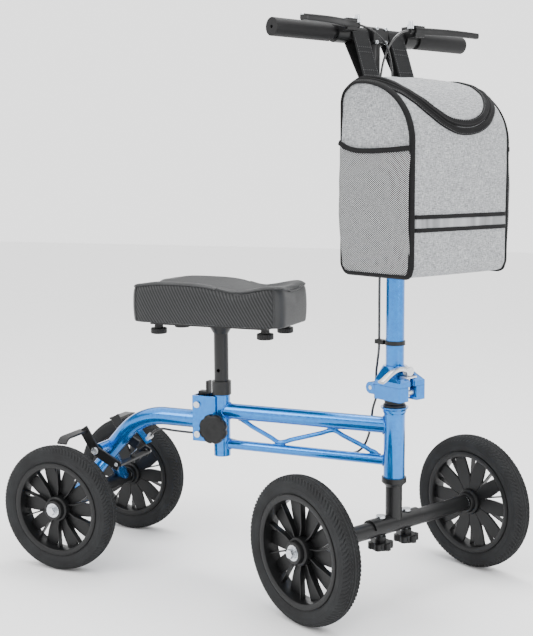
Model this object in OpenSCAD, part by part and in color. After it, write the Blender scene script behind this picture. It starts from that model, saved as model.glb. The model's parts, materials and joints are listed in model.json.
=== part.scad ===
// Knee scooter: four wheels, a knee pad on a sliding post, a steering column that folds,
// handlebar brakes that press a bar on both rear tyres, and a zipped bag on the handlebar.
// +X is forward, +Y is the rider's left, +Z is up, and Z = 0 is the floor.
// The origin is on the floor, midway along and across the whole scooter.

/* [Layout] */
// Seat tube axis, measured from the middle of the scooter
seat_x = -82; // [-110:1:-60]
// Head tube (steering) axis, measured from the middle of the scooter
head_x = 274; // [255:1:320]
// Rear axle, measured from the middle of the scooter
rear_x = -378; // [-400:1:-372]
// Distance between the middles of the front tyres
front_track = 447; // [420:1:520]
// Distance between the middles of the rear tyres
rear_track = 278; // [270:1:340]
// Angle of the steering at rest, negative to the rider's right
steer_angle = -27; // [-30:1:0]

/* [Wheels] */
// Front tyre diameter
front_wheel_d = 266; // [240:1:300]
// Rear tyre diameter
rear_wheel_d = 252; // [240:1:256]
// Depth of the front tyre's rubber, from rim to tread
front_rubber = 30; // [22:1:36]
// Depth of the rear tyre's rubber, from rim to tread
rear_rubber = 30; // [22:1:36]
// Tyre width
tyre_w = 41; // [32:1:46]
// Hub length
hub_len = 50; // [44:1:60]
// Hub diameter
hub_d = 50; // [40:1:60]
// Wheel bearing outer diameter
bearing_d = 28; // [24:1:30]
// Wheel bearing width
bearing_w = 8; // [6:1:10]
// Axle bolt diameter
axle_bolt_d = 12; // [8:1:14]
// Number of petal spokes in each wheel
spokes = 10; // [6:1:12]
// Thickness of a petal spoke
petal_t = 10; // [6:1:16]

/* [Frame tubes] */
// Top tube diameter
top_tube_d = 31; // [24:1:36]
// Height of the top tube's axis
top_tube_z = 320; // [305:1:335]
// Lower tube diameter
low_tube_d = 19; // [14:1:26]
// Height of the lower tube's axis
low_tube_z = 253; // [245:1:265]
// Truss rod diameter
truss_d = 9; // [6:1:12]
// Seat tube outer diameter
seat_tube_d = 33; // [31:0.5:38]
// Head tube outer diameter
head_tube_d = 39.6; // [38:0.2:46]
// Rear curved tube diameter
rear_tube_d = 36; // [28:1:40]
// Radius of the rear tube's bend
rear_bend_r = 130; // [110:1:150]
// Angle of the rear tube's bend
rear_bend_a = 48; // [40:1:54]
// Axle tube diameter, front and rear
axle_d = 30; // [25:1:34]
// Wall of the open tubes
tube_wall = 2.2; // [1.5:0.1:3]

/* [Seat] */
// Seat post diameter
post_d = 28.4; // [25:0.1:28.8]
// Height of the top of the seat tube
seat_tube_top = 353; // [345:1:365]
// Height of the underside of the knee pad
pad_z = 499; // [480:1:520]
// Knee pad length
pad_l = 325; // [290:1:360]
// Knee pad width
pad_w = 152; // [140:1:180]
// Knee pad height at its raised sides
pad_h = 86; // [70:1:100]
// Depth of the trough along the knee pad
pad_trough = 30; // [15:1:40]
// Lock knob diameter
lock_knob_d = 56; // [44:1:66]

/* [Steering column] */
// Column tube outer diameter
column_d = 34; // [32:1:38]
// Height of the top of the column tube
column_top = 712; // [680:1:730]
// Stem diameter
stem_d = 25.4; // [22:0.1:28.6]
// Height of the handlebar's axis
bar_z = 1028; // [1000:1:1060]
// How far the handlebar stands behind the steering axis
bar_back = 61; // [40:1:70]
// Handlebar diameter
bar_d = 22.2; // [20:0.1:25.4]
// Half length of the handlebar, grips included
bar_half = 237; // [220:1:270]
// Grip length
grip_l = 128; // [110:1:135]
// Grip diameter
grip_d = 31; // [28:1:36]

/* [Fold clamp] */
// Height of the underside of the lower clamp
clamp_z = 374; // [370:1:380]
// Height of the joint between the lower and the upper clamp
split_z = 400; // [396:1:404]
// Height of the top of the upper clamp
clamp_top = 434; // [428:1:440]
// Half width of the clamp
clamp_half = 34; // [30:1:40]
// Hinge pin, behind the steering axis
hinge_back = 30; // [29:0.5:33]
// Height of the hinge pin
hinge_z = 392; // [390:1:393]
// Hinge pin diameter
hinge_pin_d = 8; // [6:1:9]

/* [Bag] */
// Bag width
bag_w = 239; // [200:1:250]
// Depth of the bag, back to front
bag_depth = 171; // [150:1:180]
// Height of the bag's floor
bag_z = 612; // [600:1:640]
// Height of the top of the bag
bag_top = 940; // [920:1:950]
// Thickness of the bag's padded wall
bag_wall = 3.5; // [2:0.5:6]

/* [Fits] */
// Radial clearance of a running or sliding fit
run = 0.05; // [0.02:0.01:0.1]
// Gap between faces that turn past each other
face_gap = 0.3; // [0.2:0.1:0.6]
// Gap between the brake pad and the tyre
pad_gap = 3; // [3:0.5:5]

/* [Hidden] */
$fn = 64;
e = 0.01;
// Tube bends are this much fuller than the runs they join, and the runs reach this far into them
bend_full = 0.06;
bend_lap = 1.5;
side_names = ["right", "left"];

blue = "#3FA9E6";
black = "#26272A";
steel = "#C9CCD0";

front_r = front_wheel_d / 2;
rear_r = rear_wheel_d / 2;
hub_half = hub_len / 2;
front_y = front_track / 2;
rear_y = rear_track / 2;
bolt_r = axle_bolt_d / 2;
// An axle tube ends this far short of the hub's inner face
spacer_t = 1.5;

// Where each child is drawn
module at_seat() translate([seat_x, 0, 0]) children();
module steered() translate([head_x, 0, 0]) rotate([0, 0, steer_angle]) children();

// A point of the steered assembly, placed in the scooter's own frame
function steer_point(p) = [
  head_x + p.x * cos(steer_angle) - p.y * sin(steer_angle),
  p.x * sin(steer_angle) + p.y * cos(steer_angle),
  p.z
];

// A cylinder along Y, centred on p
module y_cylinder(p, r, len) translate(p) rotate([90, 0, 0]) cylinder(h = len, r = r, center = true);

// A rod between two points
module rod(p, q, d) {
  v = q - p;
  len = norm(v);
  translate(p) rotate([0, acos(v.z / len), atan2(v.y, v.x)]) cylinder(h = len, d = d);
}

// A cord through points, as a closed tube with 8 sides; ref is never along the route
function unit(v) = v / norm(v);
function route_dir(p, i) = unit(p[min(i + 1, len(p) - 1)] - p[max(i - 1, 0)]);
function cord_ring(c, t, ref, r) =
  let (n = unit(cross(t, ref)), b = cross(t, n))
  [for (k = [0 : 7]) c + r * (cos(45 * k) * n + sin(45 * k) * b)];
module cord(p, d, ref) {
  n = len(p);
  rings = [for (i = [0 : n - 1]) each cord_ring(p[i], route_dir(p, i), ref, d / 2)];
  walls = [for (i = [0 : n - 2], k = [0 : 7])
    [8 * i + k, 8 * i + (k + 1) % 8, 8 * i + 8 + (k + 1) % 8, 8 * i + 8 + k]];
  caps = [[for (k = [0 : 7]) 7 - k], [for (k = [0 : 7]) 8 * (n - 1) + k]];
  polyhedron(points = rings, faces = concat(walls, caps));
}

// ---------------------------------------------------------------- frame
post_r = post_d / 2;
post_bore = post_r + run;
seat_tube_foot = low_tube_z - low_tube_d / 2 - 14;
collar_h = 27;
collar_r = seat_tube_d / 2 + 2.5;
lock_z = (top_tube_z + low_tube_z) / 2 + 4;
lock_shank_r = 4;
lock_boss_y = seat_tube_d / 2 + 7.5;
lock_boss_r = 10;

module seat_tube() color(blue) at_seat() difference() {
  union() {
    translate([0, 0, seat_tube_foot]) cylinder(h = seat_tube_top - seat_tube_foot, d = seat_tube_d);
    y_cylinder([0, -lock_boss_y / 2, lock_z], lock_boss_r, lock_boss_y);
  }
  translate([0, 0, seat_tube_foot - 1]) cylinder(h = seat_tube_top - seat_tube_foot + 2, r = post_bore);
  y_cylinder([0, -lock_boss_y / 2, lock_z], lock_shank_r + run, lock_boss_y + 2);
}

module seat_collar() color(black) at_seat() difference() {
  translate([0, 0, seat_tube_top]) cylinder(h = collar_h, r = collar_r);
  translate([0, 0, seat_tube_top - 1]) cylinder(h = collar_h + 2, r = post_bore);
}

// A straight tube from the seat tube to the head tube, its ends shaped to the tubes they meet
module main_tube(z, d) difference() {
  translate([seat_x, 0, z]) rotate([0, 90, 0]) cylinder(h = head_x - seat_x, d = d);
  translate([seat_x, 0, z]) rotate([0, 90, 0]) cylinder(h = head_x - seat_x, d = d - 2 * tube_wall);
  at_seat() translate([0, 0, z - d]) cylinder(h = 2 * d, d = seat_tube_d);
  translate([head_x, 0, z - d]) cylinder(h = 2 * d, d = head_tube_d);
}
module top_tube() color(blue) main_tube(top_tube_z, top_tube_d);
module lower_tube() color(blue) main_tube(low_tube_z, low_tube_d);

truss_x = [seat_x + 38, seat_x + 124, seat_x + 236, head_x - 24];
// Three rods zigzag between the tubes, their ends shaped to the tubes they are welded to
module truss_rod() color(blue) difference() {
  for (i = [0 : 2]) {
    low_first = i % 2;
    z_from = low_first == 1 ? low_tube_z : top_tube_z;
    z_to = low_first == 1 ? top_tube_z : low_tube_z;
    rod([truss_x[i], 0, z_from], [truss_x[i + 1], 0, z_to], truss_d);
  }
  translate([seat_x, 0, top_tube_z]) rotate([0, 90, 0]) cylinder(h = head_x - seat_x, d = top_tube_d);
  translate([seat_x, 0, low_tube_z]) rotate([0, 90, 0]) cylinder(h = head_x - seat_x, d = low_tube_d);
  translate([head_x, 0, low_tube_z - 30]) cylinder(h = 60, d = head_tube_d);
}

head_low = 223;
head_high = 357;
head_flare_h = 13;
head_flare_r = head_tube_d / 2 + 6;
head_bore = 17;
steerer_r = 12.7;
race_h = 8;
module head_tube() color(blue) translate([head_x, 0, 0]) rotate_extrude() polygon([
  [head_bore, head_low], [head_tube_d / 2, head_low],
  [head_tube_d / 2, head_high - head_flare_h], [head_tube_d / 2 + 2, head_high - head_flare_h + 3],
  [head_tube_d / 2 + 2.4, head_high - 6], [head_flare_r, head_high - 2],
  [head_flare_r, head_high], [head_bore, head_high]
]);

cup_h = 11;
cup_r = head_tube_d / 2 + 3.2;
module lower_cup() color(black) translate([head_x, 0, 0]) rotate_extrude() polygon([
  [head_bore, head_low - cup_h], [cup_r - 2, head_low - cup_h], [cup_r, head_low - cup_h + 2],
  [cup_r, head_low], [head_bore, head_low]
]);

module head_bearings() color(steel) translate([head_x, 0, 0])
  for (z = [head_low + 1, head_high - race_h - 1]) translate([0, 0, z]) difference() {
    cylinder(h = race_h, r = head_bore);
    translate([0, 0, -1]) cylinder(h = race_h + 2, r = steerer_r + run);
  }

// Folded sheet bracket that joins the rear tube to the seat tube and carries the post latch
bracket_back = 56;
bracket_low = low_tube_z + 5;
bracket_high = seat_tube_top - 3;
bracket_y = seat_tube_d / 2;
bracket_t = 3;
latch_x = -45;
latch_z = bracket_high - 18;
low_bolt_z = bracket_low + 14;
bracket_bolt_r = 4;
module latch_bracket() color(blue) at_seat() difference() {
  union() {
    for (s = [-1, 1]) translate([-bracket_back, s > 0 ? bracket_y : -bracket_y - bracket_t, bracket_low])
      cube([bracket_back - 5, bracket_t, bracket_high - bracket_low]);
    translate([-bracket_back, -bracket_y - e, bracket_low])
      cube([bracket_t, 2 * (bracket_y + e), bracket_high - bracket_low]);
  }
  for (z = [latch_z, low_bolt_z])
    y_cylinder([latch_x, 0, z], bracket_bolt_r, 2 * (bracket_y + bracket_t) + 2);
  y_cylinder([0, -lock_boss_y / 2, lock_z], lock_boss_r, lock_boss_y);
}

module bracket_bolts() color(steel) at_seat() for (z = [latch_z, low_bolt_z]) {
  y_cylinder([latch_x, 0, z], bracket_bolt_r, 2 * (bracket_y + bracket_t));
  for (s = [-1, 1]) y_cylinder([latch_x, s * (bracket_y + bracket_t + 2), z], 6.5, 4);
}

// Rear tube: straight, then one bend, then straight down to the yoke
rear_run_x = -128;
rear_tube_z = top_tube_z - 22;
bend_end_x = rear_run_x - rear_bend_r * sin(rear_bend_a);
bend_end_z = rear_tube_z - rear_bend_r * (1 - cos(rear_bend_a));
rear_end_len = 62;
rear_end = [
  bend_end_x - rear_end_len * cos(rear_bend_a), 0,
  bend_end_z - rear_end_len * sin(rear_bend_a)
];
pivot_x = bend_end_x - 34;
pivot_z = bend_end_z - 28;
pivot_half = 52;
pivot_r = 5;
axle_x = rear_x - seat_x;
// The brake cable comes down to its pinch bolt at this angle, through the tab
cable_a = 43;
cable_dir = [-cos(cable_a), 0, -sin(cable_a)];
tab_at = [bend_end_x + 50, 0, bend_end_z - 11];
tab_t = 4;
adjuster_l = 16;
adjuster_r = 4.5;
module along_cable(p) translate(p) rotate([0, 270 - cable_a, 0]) children();
// The bend is drawn a touch fuller than the straight runs, which end inside it
module rear_tube_path(d, extra) {
  translate([-bracket_back + extra, 0, rear_tube_z]) rotate([0, -90, 0])
    cylinder(h = -bracket_back + extra - rear_run_x + bend_lap, d = d);
  translate([rear_run_x, 0, rear_tube_z - rear_bend_r]) rotate([90, 0, 0]) rotate([0, 0, 90])
    rotate_extrude(angle = rear_bend_a) translate([rear_bend_r, 0]) circle(d = d + 2 * bend_full);
  translate([bend_end_x, 0, bend_end_z]) rotate([0, -90 - rear_bend_a, 0])
    translate([0, 0, -bend_lap]) cylinder(h = rear_end_len + extra + bend_lap, d = d);
}
module rear_tube() color(blue) at_seat() difference() {
  union() {
    difference() {
      rear_tube_path(rear_tube_d, 0);
      rear_tube_path(rear_tube_d - 2 * tube_wall, 1);
    }
    y_cylinder([pivot_x, 0, pivot_z], 12, 2 * pivot_half);
    along_cable(tab_at) translate([-9, -8, -tab_t / 2]) cube([38, 16, tab_t]);
  }
  y_cylinder([pivot_x, 0, pivot_z], pivot_r + run, 2 * pivot_half + 2);
  along_cable(tab_at) cylinder(h = 3 * tab_t, r = adjuster_r, center = true);
}

// Two legs spread from the end of the rear tube down to the axle tube
yoke_d = 28;
yoke_half = rear_y - hub_half - 14;
axle_end_rear = rear_y - hub_half - spacer_t;
module yoke_leg(s) color(blue) at_seat() difference() {
  rod([rear_end.x + 4, 0, rear_end.z], [axle_x, s * yoke_half, rear_r], yoke_d);
  rear_tube_path(rear_tube_d, 0);
  y_cylinder([axle_x, 0, rear_r], axle_d / 2, 2 * rear_y);
  translate([rear_end.x - 100, s > 0 ? -100 : 0, 0]) cube([200, 100, 400]);
}
module rear_axle() color(black) at_seat() difference() {
  y_cylinder([axle_x, 0, rear_r], axle_d / 2, 2 * axle_end_rear);
  y_cylinder([axle_x, 0, rear_r], axle_d / 2 - tube_wall, 2 * axle_end_rear + 2);
}

// Axle bolts with their plugs, for an axle tube along Y that ends at end_y
washer_t = 2;
bolt_head_h = 6;
plug_l = 30;
module axle_bolts(end_y, mid_y) {
  shank_l = mid_y + hub_half + washer_t + 1 - end_y + plug_l;
  for (s = [-1, 1]) mirror([0, s > 0 ? 1 : 0, 0]) rotate([90, 0, 0]) {
    translate([0, 0, end_y - plug_l]) cylinder(h = plug_l, r = axle_d / 2 - tube_wall);
    translate([0, 0, end_y - plug_l]) cylinder(h = shank_l, r = bolt_r);
    translate([0, 0, end_y - e]) cylinder(h = spacer_t - face_gap, r = bolt_r + 3);
    translate([0, 0, mid_y + hub_half + face_gap]) cylinder(h = washer_t, r = bolt_r + 4);
    translate([0, 0, mid_y + hub_half + face_gap + washer_t - e])
      cylinder(h = bolt_head_h, r = bolt_r + 2.5, $fn = 6);
  }
}
module rear_bolts() color(steel) translate([rear_x, 0, rear_r]) axle_bolts(axle_end_rear, rear_y);

module barrel_adjuster() color(steel) at_seat() along_cable(tab_at) difference() {
  union() {
    translate([0, 0, -adjuster_l]) cylinder(h = adjuster_l + tab_t / 2 + 2, r = adjuster_r);
    translate([0, 0, -adjuster_l]) cylinder(h = 7, r = adjuster_r + 1.5);
  }
  translate([0, 0, -adjuster_l - 1]) cylinder(h = 6, r = cable_d / 2 + run);
}
boot_l = 28;
boot_outline = concat(
  [[0, 0]],
  [for (i = [0 : 5]) each [[8 - i * 0.5, i * 4.5 + 0.5], [6 - i * 0.4, i * 4.5 + 3]]],
  [[0, boot_l]]
);
module cable_boot() color(black) at_seat() along_cable(tab_at)
  translate([0, 0, tab_t / 2 + 2]) rotate_extrude() polygon(boot_outline);

// The brake cable: from the joiner behind the bag, down the column, past the fold, behind the
// top tube, along the lower tube and the bracket to the barrel adjuster
cable_d = 4.6;
joiner_at = [-28, -12, 640];
joiner_h = 40;
joiner_d = 11;
column_route = [
  [-28, -12, 640], [-28, -12, 620], [-29, -12, 580], [-29, -12, 530], [-29, -12, 490],
  [-31, -11, 455], [-40, -7, 430], [-46, -2, 410], [-47, 0, 390], [-47, 1, 372]
];
frame_route = [
  [head_x - 48, 18, 345], [head_x - 52, 21, 320], [head_x - 57, 20, 292], [head_x - 68, 16, 268],
  [head_x - 90, 13, 256], [head_x - 150, 13, 254], [head_x - 240, 13, 254], [seat_x + 60, 14, 254],
  [seat_x + 28, 19, 255], [seat_x, 24, 257], [seat_x - 30, 25, 260], [seat_x - 58, 22, 263],
  [seat_x - 85, 13, 265], [seat_x - 115, 4, 268], [seat_x - 138, 1, 270]
];
adjuster_mouth = tab_at + [seat_x, 0, 0] - adjuster_l * cable_dir;
module main_cable() color(black) cord(concat(
  [for (p = column_route) steer_point(p)], frame_route,
  [adjuster_mouth - 12 * cable_dir, adjuster_mouth]
), cable_d, [0, 1, 0]);

// ---------------------------------------------------------------- steering
axle_end_front = front_y - hub_half - spacer_t;
saddle_t = 4;
saddle_half = 62;
crown_top = head_low - cup_h - face_gap;
steer_tube_r = 15.5;
saddle_bolt_y = 34;
saddle_bolt_r = 4;
module steerer() color(black) steered() difference() {
  union() {
    difference() {
      y_cylinder([0, 0, front_r], axle_d / 2 + saddle_t, 2 * saddle_half);
      translate([-axle_d, -saddle_half - 1, front_r - axle_d])
          cube([2 * axle_d, 2 * saddle_half + 2, axle_d + 3]);
    }
    translate([0, 0, front_r]) cylinder(h = crown_top - 6 - front_r, r = steer_tube_r);
    translate([0, 0, crown_top - 6]) cylinder(h = 6, r1 = steer_tube_r, r2 = steer_tube_r + 4);
    translate([0, 0, crown_top - e]) cylinder(h = split_z - 2 - crown_top, r = steerer_r);
  }
  y_cylinder([0, 0, front_r], axle_d / 2, 2 * saddle_half + 2);
  for (s = [-1, 1]) translate([0, s * saddle_bolt_y, front_r])
    cylinder(h = axle_d, r = saddle_bolt_r + 0.3);
}

nut_h = clamp_z - head_high - face_gap;
module head_locknut() color(black) steered()
  translate([0, 0, head_high + face_gap]) rotate_extrude() polygon([
  [steerer_r, 0], [21.3, 0], [21.3, 3], [19.6, 5], [18.4, 6], [18.4, 8], [19.2, 9],
  [19.2, nut_h], [steerer_r, nut_h]
]);

// Fold clamp: the lower half is fixed to the steerer, the upper half carries the column
knuckle_r = 11;
knuckle_mid = 14;
clamp_front = 45;
slot_half = 10.5;
slot_x = 23;
hinge_pin_r = hinge_pin_d / 2;
module clamp_plan() hull() {
  translate([-hinge_back + 13, -clamp_half + 6]) circle(r = 6, $fn = 32);
  translate([-hinge_back + 13, clamp_half - 6]) circle(r = 6, $fn = 32);
  translate([clamp_front - 3, -clamp_half + 3]) circle(r = 3, $fn = 32);
  translate([clamp_front - 3, clamp_half - 3]) circle(r = 3, $fn = 32);
}
module lower_clamp() color(blue) steered() difference() {
  union() {
    translate([0, 0, clamp_z]) linear_extrude(split_z - clamp_z) clamp_plan();
    y_cylinder([-hinge_back, 0, hinge_z], knuckle_r, 2 * clamp_half);
    translate([-hinge_back, -clamp_half, hinge_z - knuckle_r]) cube([20, 2 * clamp_half, knuckle_r]);
  }
  translate([0, 0, clamp_z - 1]) cylinder(h = split_z - clamp_z + 2, r = steerer_r);
  y_cylinder([-hinge_back, 0, hinge_z], hinge_pin_r, 2 * clamp_half + 2);
  y_cylinder([-hinge_back, 0, hinge_z], knuckle_r + 1, 2 * (knuckle_mid + face_gap));
  translate([-hinge_back - 14, -knuckle_mid - face_gap, hinge_z - 4])
    cube([27, 2 * (knuckle_mid + face_gap), 24]);
  translate([slot_x, -slot_half, clamp_z - 1]) cube([clamp_front, 2 * slot_half, split_z]);
}

module front_axle() color(black) steered() difference() {
  y_cylinder([0, 0, front_r], axle_d / 2, 2 * axle_end_front);
  y_cylinder([0, 0, front_r], axle_d / 2 - tube_wall, 2 * axle_end_front + 2);
  for (s = [-1, 1]) translate([0, s * saddle_bolt_y, front_r - axle_d])
    cylinder(h = 2 * axle_d, r = saddle_bolt_r + 0.3);
}
saddle_top = front_r + axle_d / 2 + saddle_t;
star_top = front_r - axle_d / 2 - 1;
star_h = 14;
star_boss_h = 10;
// The axle bolts, the bolts through the saddle, and the hinge pin of the fold clamp
star_low = star_top - star_boss_h - star_h;
module steering_bolts() color(steel) {
  steered() y_cylinder([-hinge_back, 0, hinge_z], hinge_pin_r, 2 * clamp_half);
  steered() translate([0, 0, front_r]) axle_bolts(axle_end_front, front_y);
  steered() for (s = [-1, 1]) translate([0, s * saddle_bolt_y, 0]) {
    translate([0, 0, star_low + 3]) cylinder(h = saddle_top - star_low - 3, r = saddle_bolt_r);
    translate([0, 0, saddle_top]) cylinder(h = 4, r = 9);
  }
}
module star_knob(s) color(black) steered() translate([0, s * saddle_bolt_y, 0]) difference() {
  union() {
    translate([0, 0, star_top - star_boss_h]) cylinder(h = star_boss_h, r = 10);
    translate([0, 0, star_low]) cylinder(h = star_h, r = 18);
    for (k = [0 : 5]) rotate([0, 0, 60 * k]) translate([17, 0, star_low + 1])
      cylinder(h = star_h - 2, r = 7);
  }
  translate([0, 0, star_low + 2]) cylinder(h = star_h + star_boss_h, r = saddle_bolt_r + run);
}

// ---------------------------------------------------------------- wheels
// A wheel is drawn about Y with its outer face towards -Y
rim_w = 34;
rim_lip = 12;
function petal_edge(r0, r1, w, side) = [for (i = [0 : 8])
  let (t = i / 8, k = side > 0 ? t : 1 - t)
  [r0 + (r1 - r0) * k, side * w * (0.35 + 0.65 * sin(180 * k))]];
module rim(r_rim) rotate([90, 0, 0]) difference() {
  spoke_in = hub_d / 2 - 3;
  spoke_out = r_rim - rim_lip + 3;
  union() {
    rotate_extrude() polygon([
      [r_rim - rim_lip, -rim_w / 2], [r_rim, -rim_w / 2],
      [r_rim, rim_w / 2], [r_rim - rim_lip, rim_w / 2],
      [r_rim - rim_lip - 2, rim_w / 2 - 3], [r_rim - rim_lip - 2, -rim_w / 2 + 3]
    ]);
    translate([0, 0, -hub_half]) cylinder(h = hub_len, r = hub_d / 2);
    for (k = [0 : spokes - 1]) rotate([0, 0, 360 / spokes * k]) {
      translate([0, 0, -petal_t - 2]) linear_extrude(petal_t) polygon(concat(
        petal_edge(spoke_in, spoke_out, 13, 1), petal_edge(spoke_in, spoke_out, 13, -1)));
      rotate([0, 0, 180 / spokes]) translate([spoke_in, -1.5, -8])
        cube([spoke_out - spoke_in - 1, 3, 18]);
    }
  }
  for (s = [-1, 1]) translate([0, 0, s > 0 ? hub_half - bearing_w : -hub_half - 1])
    cylinder(h = bearing_w + 1, d = bearing_d);
  translate([0, 0, -hub_half]) cylinder(h = hub_len, r = bolt_r + 3);
}
module bearings() rotate([90, 0, 0]) for (s = [-1, 1])
  translate([0, 0, s > 0 ? hub_half - bearing_w : -hub_half]) difference() {
    cylinder(h = bearing_w, d = bearing_d);
    translate([0, 0, -1]) cylinder(h = bearing_w + 2, r = bolt_r + run);
  }
module tyre(r_rim, r_out) rotate([90, 0, 0]) rotate_extrude($fn = 96) polygon([
  [r_rim, -tyre_w / 2 + 4], [r_rim + 5, -tyre_w / 2 + 1], [r_rim + 10, -tyre_w / 2],
  [r_out - 10, -tyre_w / 2], [r_out - 5, -tyre_w / 2 + 3],
  [r_out - 1.5, -tyre_w / 2 + 9], [r_out, -tyre_w / 2 + 15],
  [r_out, tyre_w / 2 - 15], [r_out - 1.5, tyre_w / 2 - 9],
  [r_out - 5, tyre_w / 2 - 3], [r_out - 10, tyre_w / 2],
  [r_rim + 10, tyre_w / 2], [r_rim + 5, tyre_w / 2 - 1], [r_rim, tyre_w / 2 - 4]
]);
// side is 0 for the right wheel and 1 for the left
module front_place(side) steered() mirror([0, side, 0]) translate([0, -front_y, front_r]) children();
module rear_place(side)
  translate([rear_x, 0, 0]) mirror([0, side, 0]) translate([0, -rear_y, rear_r]) children();
front_rim_r = front_r - front_rubber;
rear_rim_r = rear_r - rear_rubber;

// ---------------------------------------------------------------- column
column_r = column_d / 2;
stem_r = stem_d / 2;
upper_low = split_z + face_gap;
module upper_clamp() color(blue) steered() difference() {
  union() {
    hull() {
      translate([0, 0, upper_low]) linear_extrude(9) intersection() {
        clamp_plan();
        translate([-hinge_back + 12, -100]) square([200, 200]);
      }
      translate([0, 0, clamp_top - 12]) cylinder(h = 12, r = column_r + 4.5, $fn = 48);
    }
    y_cylinder([-hinge_back, 0, hinge_z], knuckle_r, 2 * knuckle_mid);
    translate([-hinge_back, -knuckle_mid, hinge_z]) cube([13 - face_gap, 2 * knuckle_mid, 16]);
  }
  translate([0, 0, upper_low + 4]) cylinder(h = clamp_top, r = column_r);
  y_cylinder([-hinge_back, 0, hinge_z], hinge_pin_r + run, 2 * clamp_half + 2);
  translate([0, 0, split_z - 2]) cylinder(h = 4, r = steerer_r + 2);
  translate([slot_x + 4, -6, upper_low - 1]) cube([clamp_front, 12, 60]);
  translate([slot_x - 2, -44, upper_low + 15]) cube([clamp_front, 59, 60]);
}

module column_tube() color(blue) steered() difference() {
  translate([0, 0, upper_low + 4]) cylinder(h = column_top - upper_low - 4, r = column_r);
  translate([0, 0, upper_low + 3]) cylinder(h = column_top - upper_low, r = stem_r + run);
}

// The bolt of the quick release: cross nut low in the slot, saddle washer and cam fork on top
bolt_x = 34;
cam_z = upper_low + 27 + run;
module fold_bolt() color(steel) steered() {
  translate([bolt_x, 0, split_z - 20]) cylinder(h = cam_z - split_z + 20, r = 3.4);
  y_cylinder([bolt_x, 0, split_z - 12], 6, 2 * slot_half - 3);
  translate([bolt_x - 9, -13, upper_low + 15]) cube([18, 26, 3]);
}
cam_r = 9;
cam_half = 6;
cam_slot = 3.7;
lever_l = 66;
lever_drop = 22;
// The lever turns about the cam's axis, which runs fore and aft through the head of the bolt
module fold_lever() color(steel) steered() difference() {
  union() {
    translate([bolt_x, 0, cam_z]) rotate([0, 90, 0]) cylinder(h = 2 * cam_half, r = cam_r, center = true);
    translate([bolt_x, 0, cam_z]) rotate([lever_drop, 0, 0]) translate([1 - cam_half, -lever_l, 3])
      cube([2 * cam_half - 2, lever_l, 5]);
  }
  translate([bolt_x - cam_slot, -cam_r - 1, cam_z - cam_r - 1])
    cube([2 * cam_slot, 2 * cam_r + 2, cam_r + 6.5]);
}

tie_z = 472;
// The clip on the column, and the joiner where the two lever cables meet the brake cable
module cable_guides() color(black) steered() {
  difference() {
    union() {
      translate([0, 0, tie_z]) cylinder(h = 8, r = column_r + 1.8);
      translate([-36, -17, tie_z]) cube([22, 12, 8]);
    }
    translate([0, 0, tie_z - 1]) cylinder(h = 10, r = column_r);
    translate([-29.6, -11.7, tie_z - 1]) cylinder(h = 10, d = cable_d + 2);
  }
  difference() {
    translate(joiner_at) cylinder(h = joiner_h, d = joiner_d);
    translate(joiner_at - [0, 0, 1]) cylinder(h = joiner_h / 2, d = cable_d + 0.4);
  }
}

height_clamp_h = 24;
height_ear_y = 4;
module height_clamp() color(black) steered() difference() {
  union() {
    translate([0, 0, column_top - height_clamp_h]) cylinder(h = height_clamp_h, r = column_r + 4.5);
    translate([-column_r - 14, height_ear_y, column_top - height_clamp_h]) cube([18, 14, height_clamp_h]);
  }
  translate([0, 0, column_top - height_clamp_h - 1]) cylinder(h = height_clamp_h + 2, r = column_r);
  y_cylinder([-column_r - 8, 0, column_top - 12], 3 + run, 80);
}
height_lever_x = -column_r - 8;
module height_lever() color(black) steered() {
  y_cylinder([height_lever_x, height_ear_y + 8, column_top - 12], 3, 18);
  translate([height_lever_x - 5, height_ear_y + 14 + face_gap, column_top - 62]) cube([9, 4, 56]);
}

// ---------------------------------------------------------------- stem, bar and brakes
stem_low = 520;
goose_low = 800;
goose_a = 50;
goose_r = bar_back / (2 * (1 - cos(goose_a)));
goose_high = goose_low + 2 * goose_r * sin(goose_a);
bar_r = bar_d / 2;
clamp_y = 18;
module stem() color(black) steered() difference() {
  union() {
    translate([0, 0, stem_low]) cylinder(h = goose_low - stem_low + bend_lap, r = stem_r);
    translate([-goose_r, 0, goose_low]) rotate([90, 0, 0])
      rotate_extrude(angle = goose_a + 1) translate([goose_r, 0]) circle(r = stem_r + bend_full);
    translate([-bar_back + goose_r, 0, goose_high]) rotate([90, 0, 0]) rotate([0, 0, 180])
      rotate_extrude(angle = goose_a) translate([goose_r, 0]) circle(r = stem_r + 2 * bend_full);
    translate([-bar_back, 0, goose_high - bend_lap]) cylinder(h = bar_z - goose_high + bend_lap, r = stem_r);
    y_cylinder([-bar_back, 0, bar_z], bar_r + 6, 2 * clamp_y);
    translate([-bar_back + bar_r, -clamp_y, bar_z - 12]) cube([9, 2 * clamp_y, 24]);
  }
  y_cylinder([-bar_back, 0, bar_z], bar_r, 2 * clamp_y + 2);
  translate([0, 0, stem_low - 1]) cylinder(h = goose_low - stem_low - 10, r = stem_r - tube_wall);
}

grip_in = bar_half - grip_l;
module handlebar() color(black) steered() difference() {
  y_cylinder([-bar_back, 0, bar_z], bar_r, 2 * bar_half - 8);
  y_cylinder([-bar_back, 0, bar_z], bar_r - tube_wall, 2 * bar_half);
}
module grips() color(black) steered() for (s = [-1, 1]) difference() {
  y_cylinder([-bar_back, s * (grip_in + grip_l / 2), bar_z], grip_d / 2, grip_l);
  y_cylinder([-bar_back, s * (grip_in + grip_l / 2 - 4), bar_z], bar_r, grip_l);
  y_cylinder([-bar_back, s * bar_half, bar_z], 3, 20);
}

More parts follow.
